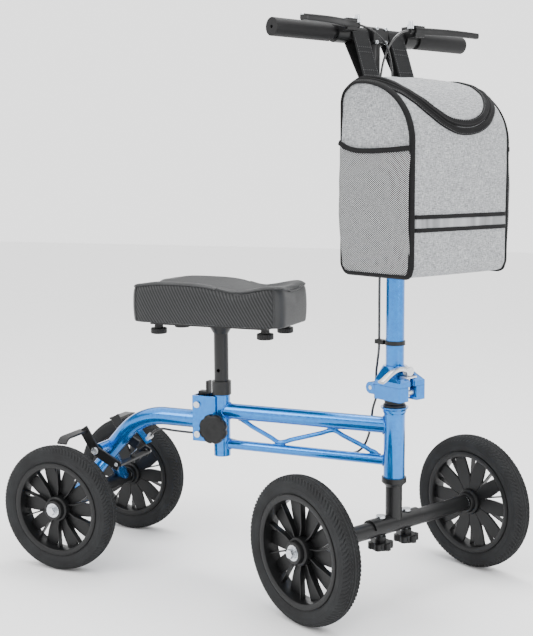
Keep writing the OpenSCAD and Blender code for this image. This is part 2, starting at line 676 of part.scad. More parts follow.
perch_y = 85;
perch_half = 12;
lever_pivot = [-bar_back + 29, 79];
lever_z = bar_z + 9;
lever_t = 8;
lever_pin_r = 3;
lever_eye_r = 8;
module perch() difference() {
  union() {
    y_cylinder([-bar_back, perch_y, bar_z], bar_r + 5, 2 * perch_half);
    translate([-bar_back, perch_y - perch_half, bar_z + 2]) cube([36, 2 * perch_half, 20]);
    translate([lever_pivot.x, perch_y - perch_half - 9, bar_z + 12]) rotate([-90, 0, 0])
      cylinder(h = 10, r = 5);
  }
  y_cylinder([-bar_back, perch_y, bar_z], bar_r, 2 * perch_half + 2);
  translate([lever_pivot.x - 12, perch_y - perch_half - 1, lever_z - face_gap])
    cube([40, 2 * perch_half + 2, lever_t + 2 * face_gap]);
  translate([lever_pivot.x, lever_pivot.y, lever_z - face_gap])
    cylinder(h = lever_t + 2 * face_gap, r = lever_eye_r + face_gap);
  translate([lever_pivot.x, lever_pivot.y, bar_z]) cylinder(h = 40, r = lever_pin_r);
}
module brake_perches() color(black) steered() for (s = [-1, 1]) mirror([0, s > 0 ? 0 : 1, 0]) perch();
// A blade from the pivot out past the grip, drawn for the left hand
blade_tip = [-4, 218];
module lever_blade() difference() {
  union() {
    translate([lever_pivot.x, lever_pivot.y, lever_z]) cylinder(h = lever_t, r = lever_eye_r);
    translate([0, 0, lever_z]) linear_extrude(lever_t) polygon([
      lever_pivot + [-6, 0], lever_pivot + [-3, 34], blade_tip + [-8, -70], blade_tip + [-4, 0],
      blade_tip + [4, 0], blade_tip + [1, -70], lever_pivot + [9, 34], lever_pivot + [7, 0]
    ]);
    translate([blade_tip.x, blade_tip.y, lever_z]) cylinder(h = lever_t, r = 5.5);
  }
  translate([lever_pivot.x, lever_pivot.y, lever_z - 1])
    cylinder(h = lever_t + 2, r = lever_pin_r + run);
}
module brake_lever(side) color(black) steered() mirror([0, 1 - side, 0]) lever_blade();

lever_cable_d = 4;
joint_top = joiner_at.z + joiner_h + 0.2;
left_route = [
  [-32, 64, 1040], [-31, 52, 1039], [-30, 38, 1034], [-30, 22, 1023], [-31, 8, 1005], [-32, -3, 980],
  [-32, -10, 950], [-32, -15, 915], [-32, -17, 880], [-31, -18, 845], [-30, -17, 800], [-29, -16, 750],
  [-28, -14, 710], [-28, -14.5, 688], [-28, -14.5, joint_top]
];
right_route = [
  [-32, -64, 1040], [-31, -52, 1039], [-30, -38, 1035], [-27, -20, 1026], [-25, -4, 1012],
  [-26, 8, 990], [-28, 16, 960], [-31, 19, 920], [-33, 19.5, 885], [-33, 19, 850], [-32, 15, 810],
  [-30, 4, 760], [-28, -6, 715], [-28, -9.5, 688], [-28, -9.5, joint_top]
];
module lever_cables() color(black) steered() {
  cord(left_route, lever_cable_d, [1, 0, 0]);
  cord(right_route, lever_cable_d, [1, 0, 0]);
}

// ---------------------------------------------------------------- bag
bag_back = -8;
bag_mid = -8;
bag_front = bag_back + bag_depth;
bag_crown_x = bag_back + 43;
bag_shoulder = bag_top - 108;
bag_heel = 20;
bag_neck = 40;
groove_r = 25;
groove_top = 880;
// Side outline of the bag, drawn inside its outer face by w
function bag_arc(cx, cz, a, b, from, to, n) = [for (i = [0 : n])
  let (t = from + (to - from) * i / n) [cx + a * cos(t), cz + b * sin(t)]];
function bag_side(w) = concat(
  bag_arc(bag_front - bag_heel, bag_z + bag_heel, bag_heel - w, bag_heel - w, -90, 0, 5),
  bag_arc(bag_crown_x, bag_shoulder, bag_front - bag_crown_x - w, bag_top - bag_shoulder - w, 0, 90, 18),
  bag_arc(bag_back + bag_neck, bag_top - bag_neck, bag_neck - w, bag_neck - w, 90, 180, 8),
  bag_arc(bag_back + bag_heel, bag_z + bag_heel, bag_heel - w, bag_heel - w, 180, 270, 5)
);
module bag_solid(w) translate([0, bag_mid, 0]) rotate([90, 0, 0])
  linear_extrude(bag_w - 2 * w, center = true) polygon(bag_side(w));
// The back of the bag is pressed in round the column
module column_groove(w) {
  translate([0, 0, bag_z - 1]) cylinder(h = groove_top + w - bag_z + 1, r = groove_r + w);
  translate([-60, -groove_r - w, bag_z - 1]) cube([60, 2 * (groove_r + w), groove_top + w - bag_z + 1]);
}
module bag_inside() difference() {
  bag_solid(bag_wall);
  column_groove(bag_wall);
}
zip_gap = 0.8;
lid_back = bag_back + 11;
lid_half = bag_w / 2 - 9;
lid_front = bag_front - 5;
lid_run = lid_front - 62;
module lid_plan(g) translate([0, bag_mid, bag_shoulder - 20]) linear_extrude(200) polygon(concat(
  [[lid_back + g, lid_half - g], [lid_back + g, -lid_half + g]],
  [for (i = [0 : 16]) let (t = -90 + 180 * i / 16)
    [lid_run + (lid_front - lid_run - g) * cos(t), (lid_half - g) * sin(t)]]
));
module lid_region(g) difference() {
  lid_plan(g);
  column_groove(bag_wall + g);
}
module bag_shell() color("#B9BBBE") steered() difference() {
  bag_solid(0);
  column_groove(0);
  lid_region(0);
  bag_inside();
}
module bag_lid() color("#B9BBBE") steered() difference() {
  intersection() {
    bag_solid(0);
    lid_region(zip_gap);
  }
  bag_inside();
}

strap_w = 38;
strap_y = 45;
strap_t = 2.5;
strap_slack = 0.2;
strap_fold = 0.6;
strap_a = 22;
strap_reach = bag_neck + strap_t + strap_fold;
strap_foot = [
  bag_back + bag_neck - strap_reach * cos(strap_a),
  bag_top - bag_neck + strap_reach * sin(strap_a)
];
// A strap loops over the bar and its two leaves come down to the back edge of the bag
module strap_outline(r) hull() {
  translate([-bar_back, bar_z]) circle(r = r, $fn = 48);
  translate(strap_foot) circle(r = r - bar_r + strap_fold - strap_slack, $fn = 24);
}
module bag_straps() color(black) steered() for (s = [-1, 1]) difference() {
  translate([0, s * strap_y + strap_w / 2, 0]) rotate([90, 0, 0]) linear_extrude(strap_w) difference() {
    strap_outline(bar_r + strap_slack + strap_t);
    strap_outline(bar_r + strap_slack);
  }
}

// ---------------------------------------------------------------- seat
post_low = 240;
post_flare = 12;
plate_t = 5;
plate_l = 250;
plate_w = 118;
knob_x = [-112, 117];
knob_y = 48;
knob_stud_r = 3;
pad_back = -pad_l / 2 - 2;
module seat_post() color(black) at_seat() difference() {
  union() {
    translate([0, 0, post_low]) cylinder(h = pad_z - plate_t - post_low, r = post_r);
    translate([-plate_l / 2, -plate_w / 2, pad_z - plate_t]) cube([plate_l, plate_w, plate_t]);
    translate([0, 0, pad_z - plate_t - 20]) cylinder(h = 20, r1 = post_r, r2 = post_r + post_flare);
  }
  translate([0, 0, post_low - 1]) cylinder(h = pad_z - plate_t - post_low - 20, r = post_r - tube_wall);
  y_cylinder([0, -post_r, pad_z - 97], 3.5, 8);
  for (x = knob_x, s = [-1, 1]) translate([x, s * knob_y, pad_z - plate_t - 1])
    cylinder(h = plate_t + 2, r = knob_stud_r + 0.3);
}

pad_corner = 24;
trough_r = 110;
module knee_pad() color(black) at_seat() difference() {
  translate([pad_back, 0, pad_z]) linear_extrude(pad_h) hull()
    for (x = [pad_corner, pad_l - pad_corner], s = [-1, 1])
      translate([x, s * (pad_w / 2 - pad_corner)]) circle(r = pad_corner, $fn = 48);
  translate([pad_back - 1, 0, pad_z + pad_h - pad_trough + trough_r]) rotate([0, 90, 0])
    cylinder(h = pad_l + 2, r = trough_r);
  for (x = knob_x, s = [-1, 1]) translate([x, s * knob_y, pad_z - 1]) cylinder(h = 13, r = knob_stud_r);
}

module pad_knobs() color(black) at_seat() for (x = knob_x, s = [-1, 1]) translate([x, s * knob_y, 0]) {
  translate([0, 0, pad_z - plate_t - 19]) cylinder(h = 12, r = 16);
  translate([0, 0, pad_z - plate_t - 8]) cylinder(h = 8, r = 8);
  translate([0, 0, pad_z - plate_t - e]) cylinder(h = plate_t + 12, r = knob_stud_r);
}

// The lock knob's screw turns in the boss on the seat tube and stops short of the post
module seat_knob() color(black) at_seat() {
  translate([0, -lock_boss_y - 1, lock_z]) rotate([90, 0, 0]) {
    cylinder(h = 8, r = 12);
    translate([0, 0, 7]) difference() {
      cylinder(h = 16, d = lock_knob_d);
      for (k = [0 : 7]) rotate([0, 0, 45 * k]) translate([lock_knob_d / 2 + 10, 0, -1])
        cylinder(h = 18, r = 13);
    }
  }
  y_cylinder(
    [0, -(post_bore + 0.2 + lock_boss_y + 3) / 2, lock_z], lock_shank_r,
    lock_boss_y + 3 - post_bore - 0.2
  );
}

latch_half = 8;
module latch_lever() color(black) at_seat() difference() {
  union() {
    y_cylinder([latch_x, 0, latch_z], 7.5, 2 * latch_half);
    translate([latch_x - 2, -latch_half, latch_z]) cube([9, 2 * latch_half, 24]);
    translate([latch_x - 3, -latch_half, latch_z + 20]) cube([21, 2 * latch_half, 5]);
    translate([latch_x + 14, -latch_half, latch_z + 20]) cube([5, 2 * latch_half, 26]);
  }
  y_cylinder([latch_x, 0, latch_z], bracket_bolt_r + run, 2 * latch_half + 2);
}

// Rear brake: two cranked arms on one pivot, joined at the bottom, with a bar over each tyre
arm_y = 60;
arm_t = 5;
arm_w = 18;
arm_top = [pivot_x - 27, pivot_z + 40];
arm_low = [pivot_x + 49, pivot_z - 24];
pad_x = 27;
module arm_outline() for (q = [arm_top, arm_low]) hull() {
  translate(q) circle(d = arm_w, $fn = 32);
  translate([pivot_x, pivot_z]) circle(d = arm_w, $fn = 32);
}
arm_bar_z = rear_r + rear_r + pad_gap + 8;
module brake_arm() color(black) at_seat() {
  for (s = [-1, 1]) translate([0, s * arm_y + arm_t / 2, 0]) rotate([90, 0, 0])
    linear_extrude(arm_t) arm_outline();
  for (s = [-1, 1]) mirror([0, s > 0 ? 0 : 1, 0]) {
    translate([arm_top.x - 10, arm_y - arm_t / 2, arm_bar_z]) cube([16, rear_y - arm_y + 12, arm_t]);
    translate([axle_x - pad_x / 2, rear_y - 12, 0]) difference() {
      translate([0, 0, rear_wheel_d])
        cube([pad_x + arm_top.x - axle_x - 4, 24, arm_bar_z + arm_t - rear_wheel_d]);
      translate([pad_x / 2, 12, rear_r]) rotate([90, 0, 0])
        cylinder(h = 40, r = rear_r + pad_gap, center = true, $fn = 96);
    }
  }
  y_cylinder([pivot_x, 0, pivot_z], pivot_r, 2 * (arm_y + arm_t / 2 + 4));
  translate([arm_low.x - 7, -arm_y, arm_low.y - 4]) cube([14, 2 * arm_y, arm_t]);
  translate([arm_low.x - 5, 0, arm_low.y - 10]) cylinder(h = 16, r = 5);
}

seat_tube();
seat_collar();
top_tube();
lower_tube();
truss_rod();
head_tube();
lower_cup();
head_bearings();
latch_bracket();
bracket_bolts();
rear_tube();
yoke_leg(-1);  // yoke_leg_right
yoke_leg(1);  // yoke_leg_left
rear_axle();
rear_bolts();
barrel_adjuster();
cable_boot();
main_cable();
steerer();
head_locknut();
lower_clamp();
front_axle();
steering_bolts();
star_knob(-1);  // star_knob_right
star_knob(1);  // star_knob_left
color(black) front_place(0) rim(front_rim_r);  // front_rim_right
color(black) front_place(0) tyre(front_rim_r, front_r);  // front_tyre_right
color(steel) front_place(0) bearings();  // front_bearings_right
color(black) front_place(1) rim(front_rim_r);  // front_rim_left
color(black) front_place(1) tyre(front_rim_r, front_r);  // front_tyre_left
color(steel) front_place(1) bearings();  // front_bearings_left
color(black) rear_place(0) rim(rear_rim_r);  // rear_rim_right
color(black) rear_place(0) tyre(rear_rim_r, rear_r);  // rear_tyre_right
color(steel) rear_place(0) bearings();  // rear_bearings_right
color(black) rear_place(1) rim(rear_rim_r);  // rear_rim_left
color(black) rear_place(1) tyre(rear_rim_r, rear_r);  // rear_tyre_left
color(steel) rear_place(1) bearings();  // rear_bearings_left
upper_clamp();
column_tube();
fold_bolt();
cable_guides();
height_clamp();
fold_lever();
height_lever();
stem();
handlebar();
grips();
brake_perches();
bag_straps();
bag_shell();
lever_cables();
bag_lid();
brake_lever(0);  // brake_lever_right
brake_lever(1);  // brake_lever_left
seat_post();
knee_pad();
pad_knobs();
seat_knob();
latch_lever();
brake_arm();
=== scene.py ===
# %% [markdown]
# # A knee scooter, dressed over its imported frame
# The tubes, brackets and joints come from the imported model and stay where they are.
# This script gives them their finishes and builds what a solid model cannot show:
# tread on the tyres, a padded knee rest, and a sewn bag with zip, binding and mesh.

# %% Load the frame
import json
import math

import bmesh
import bpy
import numpy as np
from mathutils import Matrix, Vector
from mathutils.bvhtree import BVHTree


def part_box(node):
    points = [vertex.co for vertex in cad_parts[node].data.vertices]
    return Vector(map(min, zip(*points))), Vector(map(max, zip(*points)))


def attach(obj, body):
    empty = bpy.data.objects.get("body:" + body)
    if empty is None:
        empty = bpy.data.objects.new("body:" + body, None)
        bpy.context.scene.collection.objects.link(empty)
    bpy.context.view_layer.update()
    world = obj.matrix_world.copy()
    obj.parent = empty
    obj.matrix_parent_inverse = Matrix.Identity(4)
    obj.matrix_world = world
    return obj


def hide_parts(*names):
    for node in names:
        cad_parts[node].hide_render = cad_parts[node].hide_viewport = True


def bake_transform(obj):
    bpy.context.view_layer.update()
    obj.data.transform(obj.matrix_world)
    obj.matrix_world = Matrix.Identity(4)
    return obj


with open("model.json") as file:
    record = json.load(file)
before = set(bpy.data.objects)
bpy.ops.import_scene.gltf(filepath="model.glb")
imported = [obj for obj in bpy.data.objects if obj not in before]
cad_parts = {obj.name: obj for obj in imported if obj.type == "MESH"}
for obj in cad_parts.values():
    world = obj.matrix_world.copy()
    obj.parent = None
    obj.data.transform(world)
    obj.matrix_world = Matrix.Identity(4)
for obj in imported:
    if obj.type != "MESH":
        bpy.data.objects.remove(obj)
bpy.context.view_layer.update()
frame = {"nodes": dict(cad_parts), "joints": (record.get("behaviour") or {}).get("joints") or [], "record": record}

MM = 0.001
joints = {j["name"]: j for j in frame["joints"]}

# %% [markdown]
# The fork, column, bar and bag are stored turned to the rider's right. Their shapes are
# easier to write straight, with x forward and y to the left of the steering axis, so one
# matrix places them. It comes from the front wheel's axle line in the frame's own joints.

# %% Where steered and fixed pieces go
left_way = Vector(joints["front_wheel_left_spin"]["axis"])
head = Vector(joints["steering"]["pos_m"])
STEER_TURN = Matrix((
    (left_way.y, left_way.x, 0, 0), (-left_way.x, left_way.y, 0, 0), (0, 0, 1, 0), (0, 0, 0, 1)))
STEER = Matrix.Translation((head.x, head.y, 0)) @ STEER_TURN
SEAT_X = (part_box("seat_tube")[0].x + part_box("seat_tube")[1].x) / 2 / MM
print("steering axis", head.x / MM, "seat tube", SEAT_X)

# %% [markdown]
# The camera stands to the rider's right and a little ahead, at about chest height of a
# seated person, and looks slightly down. It was found from the wheels, which are circles.

# %% Camera
CAMERA_AT = Vector((0.8552, -1.8715, 0.7798))
CAMERA_TURN, CAMERA_DIP, CAMERA_ROLL = (math.radians(a) for a in (24.141, 7.517, -0.455))
camera_data = bpy.data.cameras.new("camera")
camera_data.lens = 60.84
camera_data.sensor_width = 36
camera = bpy.data.objects.new("camera", camera_data)
bpy.context.scene.collection.objects.link(camera)
look = Vector((
    -math.sin(CAMERA_TURN) * math.cos(CAMERA_DIP),
    math.cos(CAMERA_TURN) * math.cos(CAMERA_DIP), -math.sin(CAMERA_DIP)))
aim = look.to_track_quat("-Z", "Y").to_matrix().to_4x4()
camera.matrix_world = Matrix.Translation(CAMERA_AT) @ aim @ Matrix.Rotation(CAMERA_ROLL, 4, "Z")
bpy.context.scene.camera = camera
print("camera", [round(v, 3) for v in camera.location])

# %% [markdown]
# A pale floor, a bright world and three large soft lights are a plain studio. The world
# has one darker band, above the horizon: lacquer and steel show what is round them, and
# the band puts a dark streak along each tube.

# %% Helpers for materials
def shade(hex_colour):
    """An sRGB hex colour as linear red, green, blue, alpha."""
    parts = [int(hex_colour[i:i + 2], 16) / 255 for i in (1, 3, 5)]
    return [c / 12.92 if c <= 0.04045 else ((c + 0.055) / 1.055) ** 2.4 for c in parts] + [1]


def add(tree, kind, inputs=None, **settings):
    """One node, with its settings, fixed inputs and links."""
    made = tree.nodes.new(kind)
    for name, value in settings.items():
        setattr(made, name, value)
    for name, value in (inputs or {}).items():
        if isinstance(value, bpy.types.NodeSocket):
            tree.links.new(value, made.inputs[name])
        else:
            made.inputs[name].default_value = value
    return made


def start_material(name, **constants):
    """A material with its main shader; constants are set on the shader's own sockets."""
    material = bpy.data.materials.new(name)
    material.use_nodes = True
    shader = material.node_tree.nodes["Principled BSDF"]
    for socket, value in constants.items():
        shader.inputs[socket.replace("_", " ")].default_value = value
    return material, material.node_tree, shader


def ramp(tree, factor, stops):
    """A colour ramp node over (place, hex colour) stops."""
    made = add(tree, "ShaderNodeValToRGB", {"Fac": factor})
    elements = made.color_ramp.elements
    while len(elements) < len(stops):
        elements.new(0.5)
    for element, (place, colour) in zip(elements, stops):
        element.position = place
        element.color = shade(colour)
    return made


print("helpers ready", shade("#808080")[0])

# %% Studio
def soft_light(name, place, target, size, power):
    data = bpy.data.lights.new(name, "AREA")
    data.shape = "RECTANGLE"
    data.size, data.size_y = size
    data.energy = power
    lamp = bpy.data.objects.new(name, data)
    lamp.location = place
    lamp.rotation_euler = (Vector(target) - Vector(place)).to_track_quat("-Z", "Y").to_euler()
    bpy.context.scene.collection.objects.link(lamp)
    return lamp


world = bpy.data.worlds.new("studio")
world.use_nodes = True
sky = world.node_tree
sky.nodes["Background"].inputs["Strength"].default_value = 2.7
around = add(sky, "ShaderNodeTexCoord")
direction = add(sky, "ShaderNodeSeparateXYZ", {"Vector": around.outputs["Generated"]})
height = ramp(sky, direction.outputs["Z"], [
    (0.0, "#E8E8E8"), (0.26, "#E8E8E8"), (0.36, "#545454"), (0.5, "#484848"), (0.62, "#FFFFFF"),
    (1.0, "#FFFFFF")])
sky.links.new(height.outputs["Color"], sky.nodes["Background"].inputs["Color"])
bpy.context.scene.world = world
soft_light("key", (-1.6, -2.4, 2.4), (0, 0, 0.5), (1.2, 1.6), 46)
soft_light("fill", (2.6, -1.2, 1.5), (0.1, 0, 0.5), (0.5, 2.2), 34)
soft_light("top", (0.2, 0.6, 2.9), (0, 0, 0.4), (2.0, 0.8), 46)

floor_mesh = bpy.data.meshes.new("floor")
floor_mesh.from_pydata([(-9, -9, 0), (9, -9, 0), (9, 9, 0), (-9, 9, 0)], [], [(0, 1, 2, 3)])
floor = bpy.data.objects.new("floor", floor_mesh)
bpy.context.scene.collection.objects.link(floor)
paper, _, _ = start_material("white backdrop paper", Base_Color=shade("#F4F4F4"), Roughness=0.9)
floor_mesh.materials.append(paper)
print("studio built")

# %% [markdown]
# ## Finishes
# Each finish starts from what the real one is. The frame is steel under a clear blue
# lacquer: the metal shows through, so it is metallic with a clear coat, and it throws
# long bright and dark streaks along the tubes. A bevel node rounds hard edges in light.

# %% Candy lacquer and black coatings
def grain_bump(tree, shader, size_mm, strength, edge_mm=0.6, detail=2.0):
    """Fine surface grain over softly rounded edges."""
    place = add(tree, "ShaderNodeTexCoord")
    noise = add(tree, "ShaderNodeTexNoise",
                {"Vector": place.outputs["Object"], "Scale": 1 / (size_mm * MM), "Detail": detail})
    edge = add(tree, "ShaderNodeBevel", {"Radius": edge_mm * MM}, samples=4)
    bump = add(tree, "ShaderNodeBump",
               {"Height": noise.outputs["Fac"], "Strength": strength, "Distance": 0.4 * MM,
                "Normal": edge.outputs["Normal"]})
    tree.links.new(bump.outputs["Normal"], shader.inputs["Normal"])
    return place, noise


def vary(tree, socket, factor, low, high):
    """Drive a socket from low to high over a 0 to 1 factor."""
    spread = add(tree, "ShaderNodeMapRange", {"Value": factor, "To Min": low, "To Max": high})
    tree.links.new(spread.outputs["Result"], socket)


def grained(name, grain_mm, relief, stops, rough, edge_mm=0.6, detail=2.0, **constants):
    """A finish whose colour and roughness both follow its own fine grain."""
    material, tree, shader = start_material(name, **constants)
    noise = grain_bump(tree, shader, grain_mm, relief, edge_mm, detail)[1]
    tint = ramp(tree, noise.outputs["Fac"], stops)
    tree.links.new(tint.outputs["Color"], shader.inputs["Base Color"])
    vary(tree, shader.inputs["Roughness"], noise.outputs["Fac"], *rough)
    return material


blue_lacquer = grained(
    "candy blue lacquer on steel", 6, 0.04, [(0.3, "#0468B8"), (0.7, "#0878C8")], (0.16, 0.26), edge_mm=1.0,
    Metallic=0.75, Coat_Weight=0.6, Coat_Roughness=0.04)
black_coat = grained(
    "satin black powder coat", 0.7, 0.12, [(0.35, "#0B0B0C"), (0.7, "#141516")], (0.34, 0.5),
    Specular_IOR_Level=0.3, Coat_Weight=0.1, Coat_Roughness=0.2)
zinc = grained(
    "zinc plated steel", 1.6, 0.08, [(0.3, "#B9BDC2"), (0.7, "#D9DCE0")], (0.2, 0.36), edge_mm=0.4,
    Metallic=1.0)
cast_aluminium = grained(
    "tumbled cast aluminium", 2.4, 0.15, [(0.3, "#C4C7CA"), (0.7, "#E4E6E8")], (0.24, 0.4), edge_mm=0.8,
    Metallic=1.0)
print("metals ready")

# %% [markdown]
# Moulded nylon, rubber and vinyl are not metal, so their colour is nearly black and most
# of what the eye gets is the sheen. Rubber scatters it widely, nylon a little less.

# %% Plastics and rubbers
moulded_nylon = grained(
    "moulded black nylon", 0.9, 0.14, [(0.35, "#09090A"), (0.7, "#111213")], (0.34, 0.48), edge_mm=0.8,
    Specular_IOR_Level=0.3)

tyre_rubber, tree, shader = start_material("tyre rubber", Specular_IOR_Level=0.2)
place, noise = grain_bump(tree, shader, 1.4, 0.3, edge_mm=0.5, detail=6)
dust = add(tree, "ShaderNodeTexNoise", {"Vector": place.outputs["Object"], "Scale": 26, "Detail": 4})
tint = ramp(tree, dust.outputs["Fac"], [(0.3, "#1B1B1C"), (0.6, "#222324"), (0.8, "#2B2C2D")])
tree.links.new(tint.outputs["Color"], shader.inputs["Base Color"])
vary(tree, shader.inputs["Roughness"], noise.outputs["Fac"], 0.6, 0.82)

soft_rubber = grained(
    "soft grip rubber", 1.1, 0.25, [(0.3, "#0E0E0F"), (0.7, "#19191A")], (0.5, 0.7), detail=4,
    Specular_IOR_Level=0.25)
cable_jacket = grained(
    "extruded cable jacket", 3, 0.05, [(0.3, "#0E0E0F"), (0.7, "#1B1B1C")], (0.2, 0.34),
    Coat_Weight=0.5, Coat_Roughness=0.15)
print("plastics ready")

# %% [markdown]
# The knee rest has two covers. The top and ends are grained vinyl, which is a net of
# small cells. The long sides are a ribbed vinyl: slanting ridges about 6 mm apart.

# %% Vinyl for the knee rest
smooth_vinyl, tree, shader = start_material("grained upholstery vinyl", Specular_IOR_Level=0.35)
place = add(tree, "ShaderNodeTexCoord")
cells = add(tree, "ShaderNodeTexVoronoi", {"Vector": place.outputs["Object"], "Scale": 1 / (1.8 * MM)},
            feature="SMOOTH_F1")
cloud = add(tree, "ShaderNodeTexNoise", {"Vector": place.outputs["Object"], "Scale": 18, "Detail": 3})
tint = ramp(tree, cloud.outputs["Fac"], [(0.3, "#1F2021"), (0.7, "#28292A")])
bump = add(tree, "ShaderNodeBump",
           {"Height": cells.outputs["Distance"], "Strength": 0.22, "Distance": 0.3 * MM})
tree.links.new(tint.outputs["Color"], shader.inputs["Base Color"])
tree.links.new(bump.outputs["Normal"], shader.inputs["Normal"])
vary(tree, shader.inputs["Roughness"], cells.outputs["Distance"], 0.4, 0.56)

RIB_PERIOD = 5.6 * MM
ribbed_vinyl, tree, shader = start_material("diagonal ribbed vinyl", Specular_IOR_Level=0.3)
place = add(tree, "ShaderNodeTexCoord")
lean = add(tree, "ShaderNodeMapping",
           {"Vector": place.outputs["Object"], "Rotation": (0, math.radians(30), 0)})
ribs = add(tree, "ShaderNodeTexWave",
           {"Vector": lean.outputs["Vector"], "Scale": 2 * math.pi / (20 * RIB_PERIOD), "Distortion": 0.4,
            "Detail": 1.0, "Detail Scale": 4.0}, wave_type="BANDS", bands_direction="X")
# The colour follows the ribs: painted shade darkens the grooves and a painted highlight lightens the crests, over
# the bump.
tint = ramp(tree, ribs.outputs["Fac"], [(0.15, "#101112"), (0.55, "#1F2021"), (0.9, "#2E2F30")])
bump = add(tree, "ShaderNodeBump",
           {"Height": ribs.outputs["Fac"], "Strength": 0.6, "Distance": 0.7 * MM})
tree.links.new(tint.outputs["Color"], shader.inputs["Base Color"])
tree.links.new(bump.outputs["Normal"], shader.inputs["Normal"])
vary(tree, shader.inputs["Roughness"], ribs.outputs["Fac"], 0.6, 0.42)
print("vinyls ready")

# %% [markdown]
# The bag is heather polyester: light and dark yarns are spun together, so the colour
# changes in short streaks along both thread directions. The threads are about 0.5 mm
# on the real cloth and are drawn three times coarser so that they show at all.

# %% Cloth for the bag
def woven(name, stops, thread_mm, streak_mm, bump_mm, **constants):
    """Cloth with streaks along both thread directions and a plain weave in relief."""
    material, tree, shader = start_material(name, **constants)
    place = add(tree, "ShaderNodeTexCoord")
    layers = []
    for along in ((1, 1, 9), (9, 9, 1)):
        stretch = add(tree, "ShaderNodeMapping", {"Vector": place.outputs["Object"], "Scale": along})
        layers.append(add(tree, "ShaderNodeTexNoise", {
            "Vector": stretch.outputs["Vector"], "Scale": 1 / (streak_mm * MM * 4), "Detail": 5,
            "Roughness": 0.7}).outputs["Fac"])
    both = add(tree, "ShaderNodeMath", {0: layers[0], 1: layers[1]}, operation="ADD")
    half = add(tree, "ShaderNodeMath", {0: both.outputs[0], 1: 0.5}, operation="MULTIPLY")
    tint = ramp(tree, half.outputs[0], stops)
    tree.links.new(tint.outputs["Color"], shader.inputs["Base Color"])
    waves = [add(tree, "ShaderNodeTexWave", {
        "Vector": place.outputs["Object"], "Scale": 2 * math.pi / (20 * thread_mm * MM), "Distortion": 1.0},
        bands_direction=way).outputs["Fac"] for way in ("Z", "DIAGONAL")]
    weave = add(tree, "ShaderNodeMath", {0: waves[0], 1: waves[1]}, operation="MULTIPLY")
    bump = add(tree, "ShaderNodeBump",
               {"Height": weave.outputs[0], "Strength": 0.35, "Distance": bump_mm * MM})
    tree.links.new(bump.outputs["Normal"], shader.inputs["Normal"])
    return material


heather = woven(
    "heather grey polyester",
    [(0.39, "#56585B"), (0.46, "#7E8082"), (0.54, "#A0A2A4"), (0.61, "#C4C5C6")], 1.7, 1.9, 0.6,
    Roughness=0.9, Specular_IOR_Level=0.2, Sheen_Weight=0.05, Sheen_Roughness=0.5)
binding_tape = woven(
    "black grosgrain binding", [(0.35, "#0D0D0E"), (0.65, "#1A1A1B")], 1.6, 2.0, 0.4,
    Roughness=0.85, Specular_IOR_Level=0.15, Sheen_Weight=0.03, Sheen_Roughness=0.5)
webbing = woven(
    "black woven webbing", [(0.35, "#0D0D0E"), (0.65, "#202122")], 3.0, 2.4, 0.8,
    Roughness=0.8, Specular_IOR_Level=0.2, Sheen_Weight=0.04, Sheen_Roughness=0.45)
lining = woven(
    "silver grey lining", [(0.35, "#8E9092"), (0.65, "#A5A7A9")], 2.0, 3.0, 0.3, Roughness=0.6)
print("cloths ready")

# %% [markdown]
# The side pocket is a knitted mesh of small diamonds. Seen from a step away it is a dark
# net over light cloth, so two slanting bands of lines are crossed in colour and in relief.

# %% Mesh pocket, reflective tape and zip
NET_CELL = 4.8
pocket_net, tree, shader = start_material("diamond mesh over cloth", Roughness=0.8, Specular_IOR_Level=0.15)
across = add(tree, "ShaderNodeAttribute", attribute_name="cloth", attribute_type="GEOMETRY")
lines = []
for sign in (1, -1):
    turned = add(tree, "ShaderNodeVectorMath", {
        0: across.outputs["Vector"], 1: (1 / NET_CELL, sign * 1.5 / NET_CELL, 0)}, operation="DOT_PRODUCT")
    swing = add(tree, "ShaderNodeMath", {0: turned.outputs["Value"], 1: math.pi}, operation="MULTIPLY")
    wave = add(tree, "ShaderNodeMath", {0: swing.outputs[0]}, operation="SINE")
    lines.append(add(tree, "ShaderNodeMath", {0: wave.outputs[0]}, operation="ABSOLUTE").outputs[0])
holes = add(tree, "ShaderNodeMath", {0: lines[0], 1: lines[1]}, operation="MINIMUM")
tint = ramp(tree, holes.outputs[0], [(0.34, "#0C0C0D"), (0.56, "#525456"), (0.8, "#D0D1D2")])
bump = add(tree, "ShaderNodeBump",
           {"Height": holes.outputs[0], "Strength": 0.5, "Distance": 0.6 * MM}, invert=True)
tree.links.new(tint.outputs["Color"], shader.inputs["Base Color"])
tree.links.new(bump.outputs["Normal"], shader.inputs["Normal"])

reflective, tree, shader = start_material(
    "glass bead reflective tape", Metallic=0.35, Roughness=0.42, Coat_Weight=0.3, Coat_Roughness=0.3)
place = add(tree, "ShaderNodeTexCoord")
# Streaks of lighter and darker grey across the tape are painted light and shade of creases.
painted_crease_streaks = add(tree, "ShaderNodeMapping", {"Vector": place.outputs["Object"], "Scale": (60, 60, 2)})
cloud = add(tree, "ShaderNodeTexNoise", {"Vector": painted_crease_streaks.outputs["Vector"], "Scale": 1.0, "Detail": 2})
tint = ramp(tree, cloud.outputs["Fac"], [(0.3, "#66686A"), (0.5, "#808284"), (0.72, "#9C9EA0")])
tree.links.new(tint.outputs["Color"], shader.inputs["Base Color"])
print("trims ready")

# %% [markdown]
# ## Dress the frame
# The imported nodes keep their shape. Their material slots are pointed at the finishes.

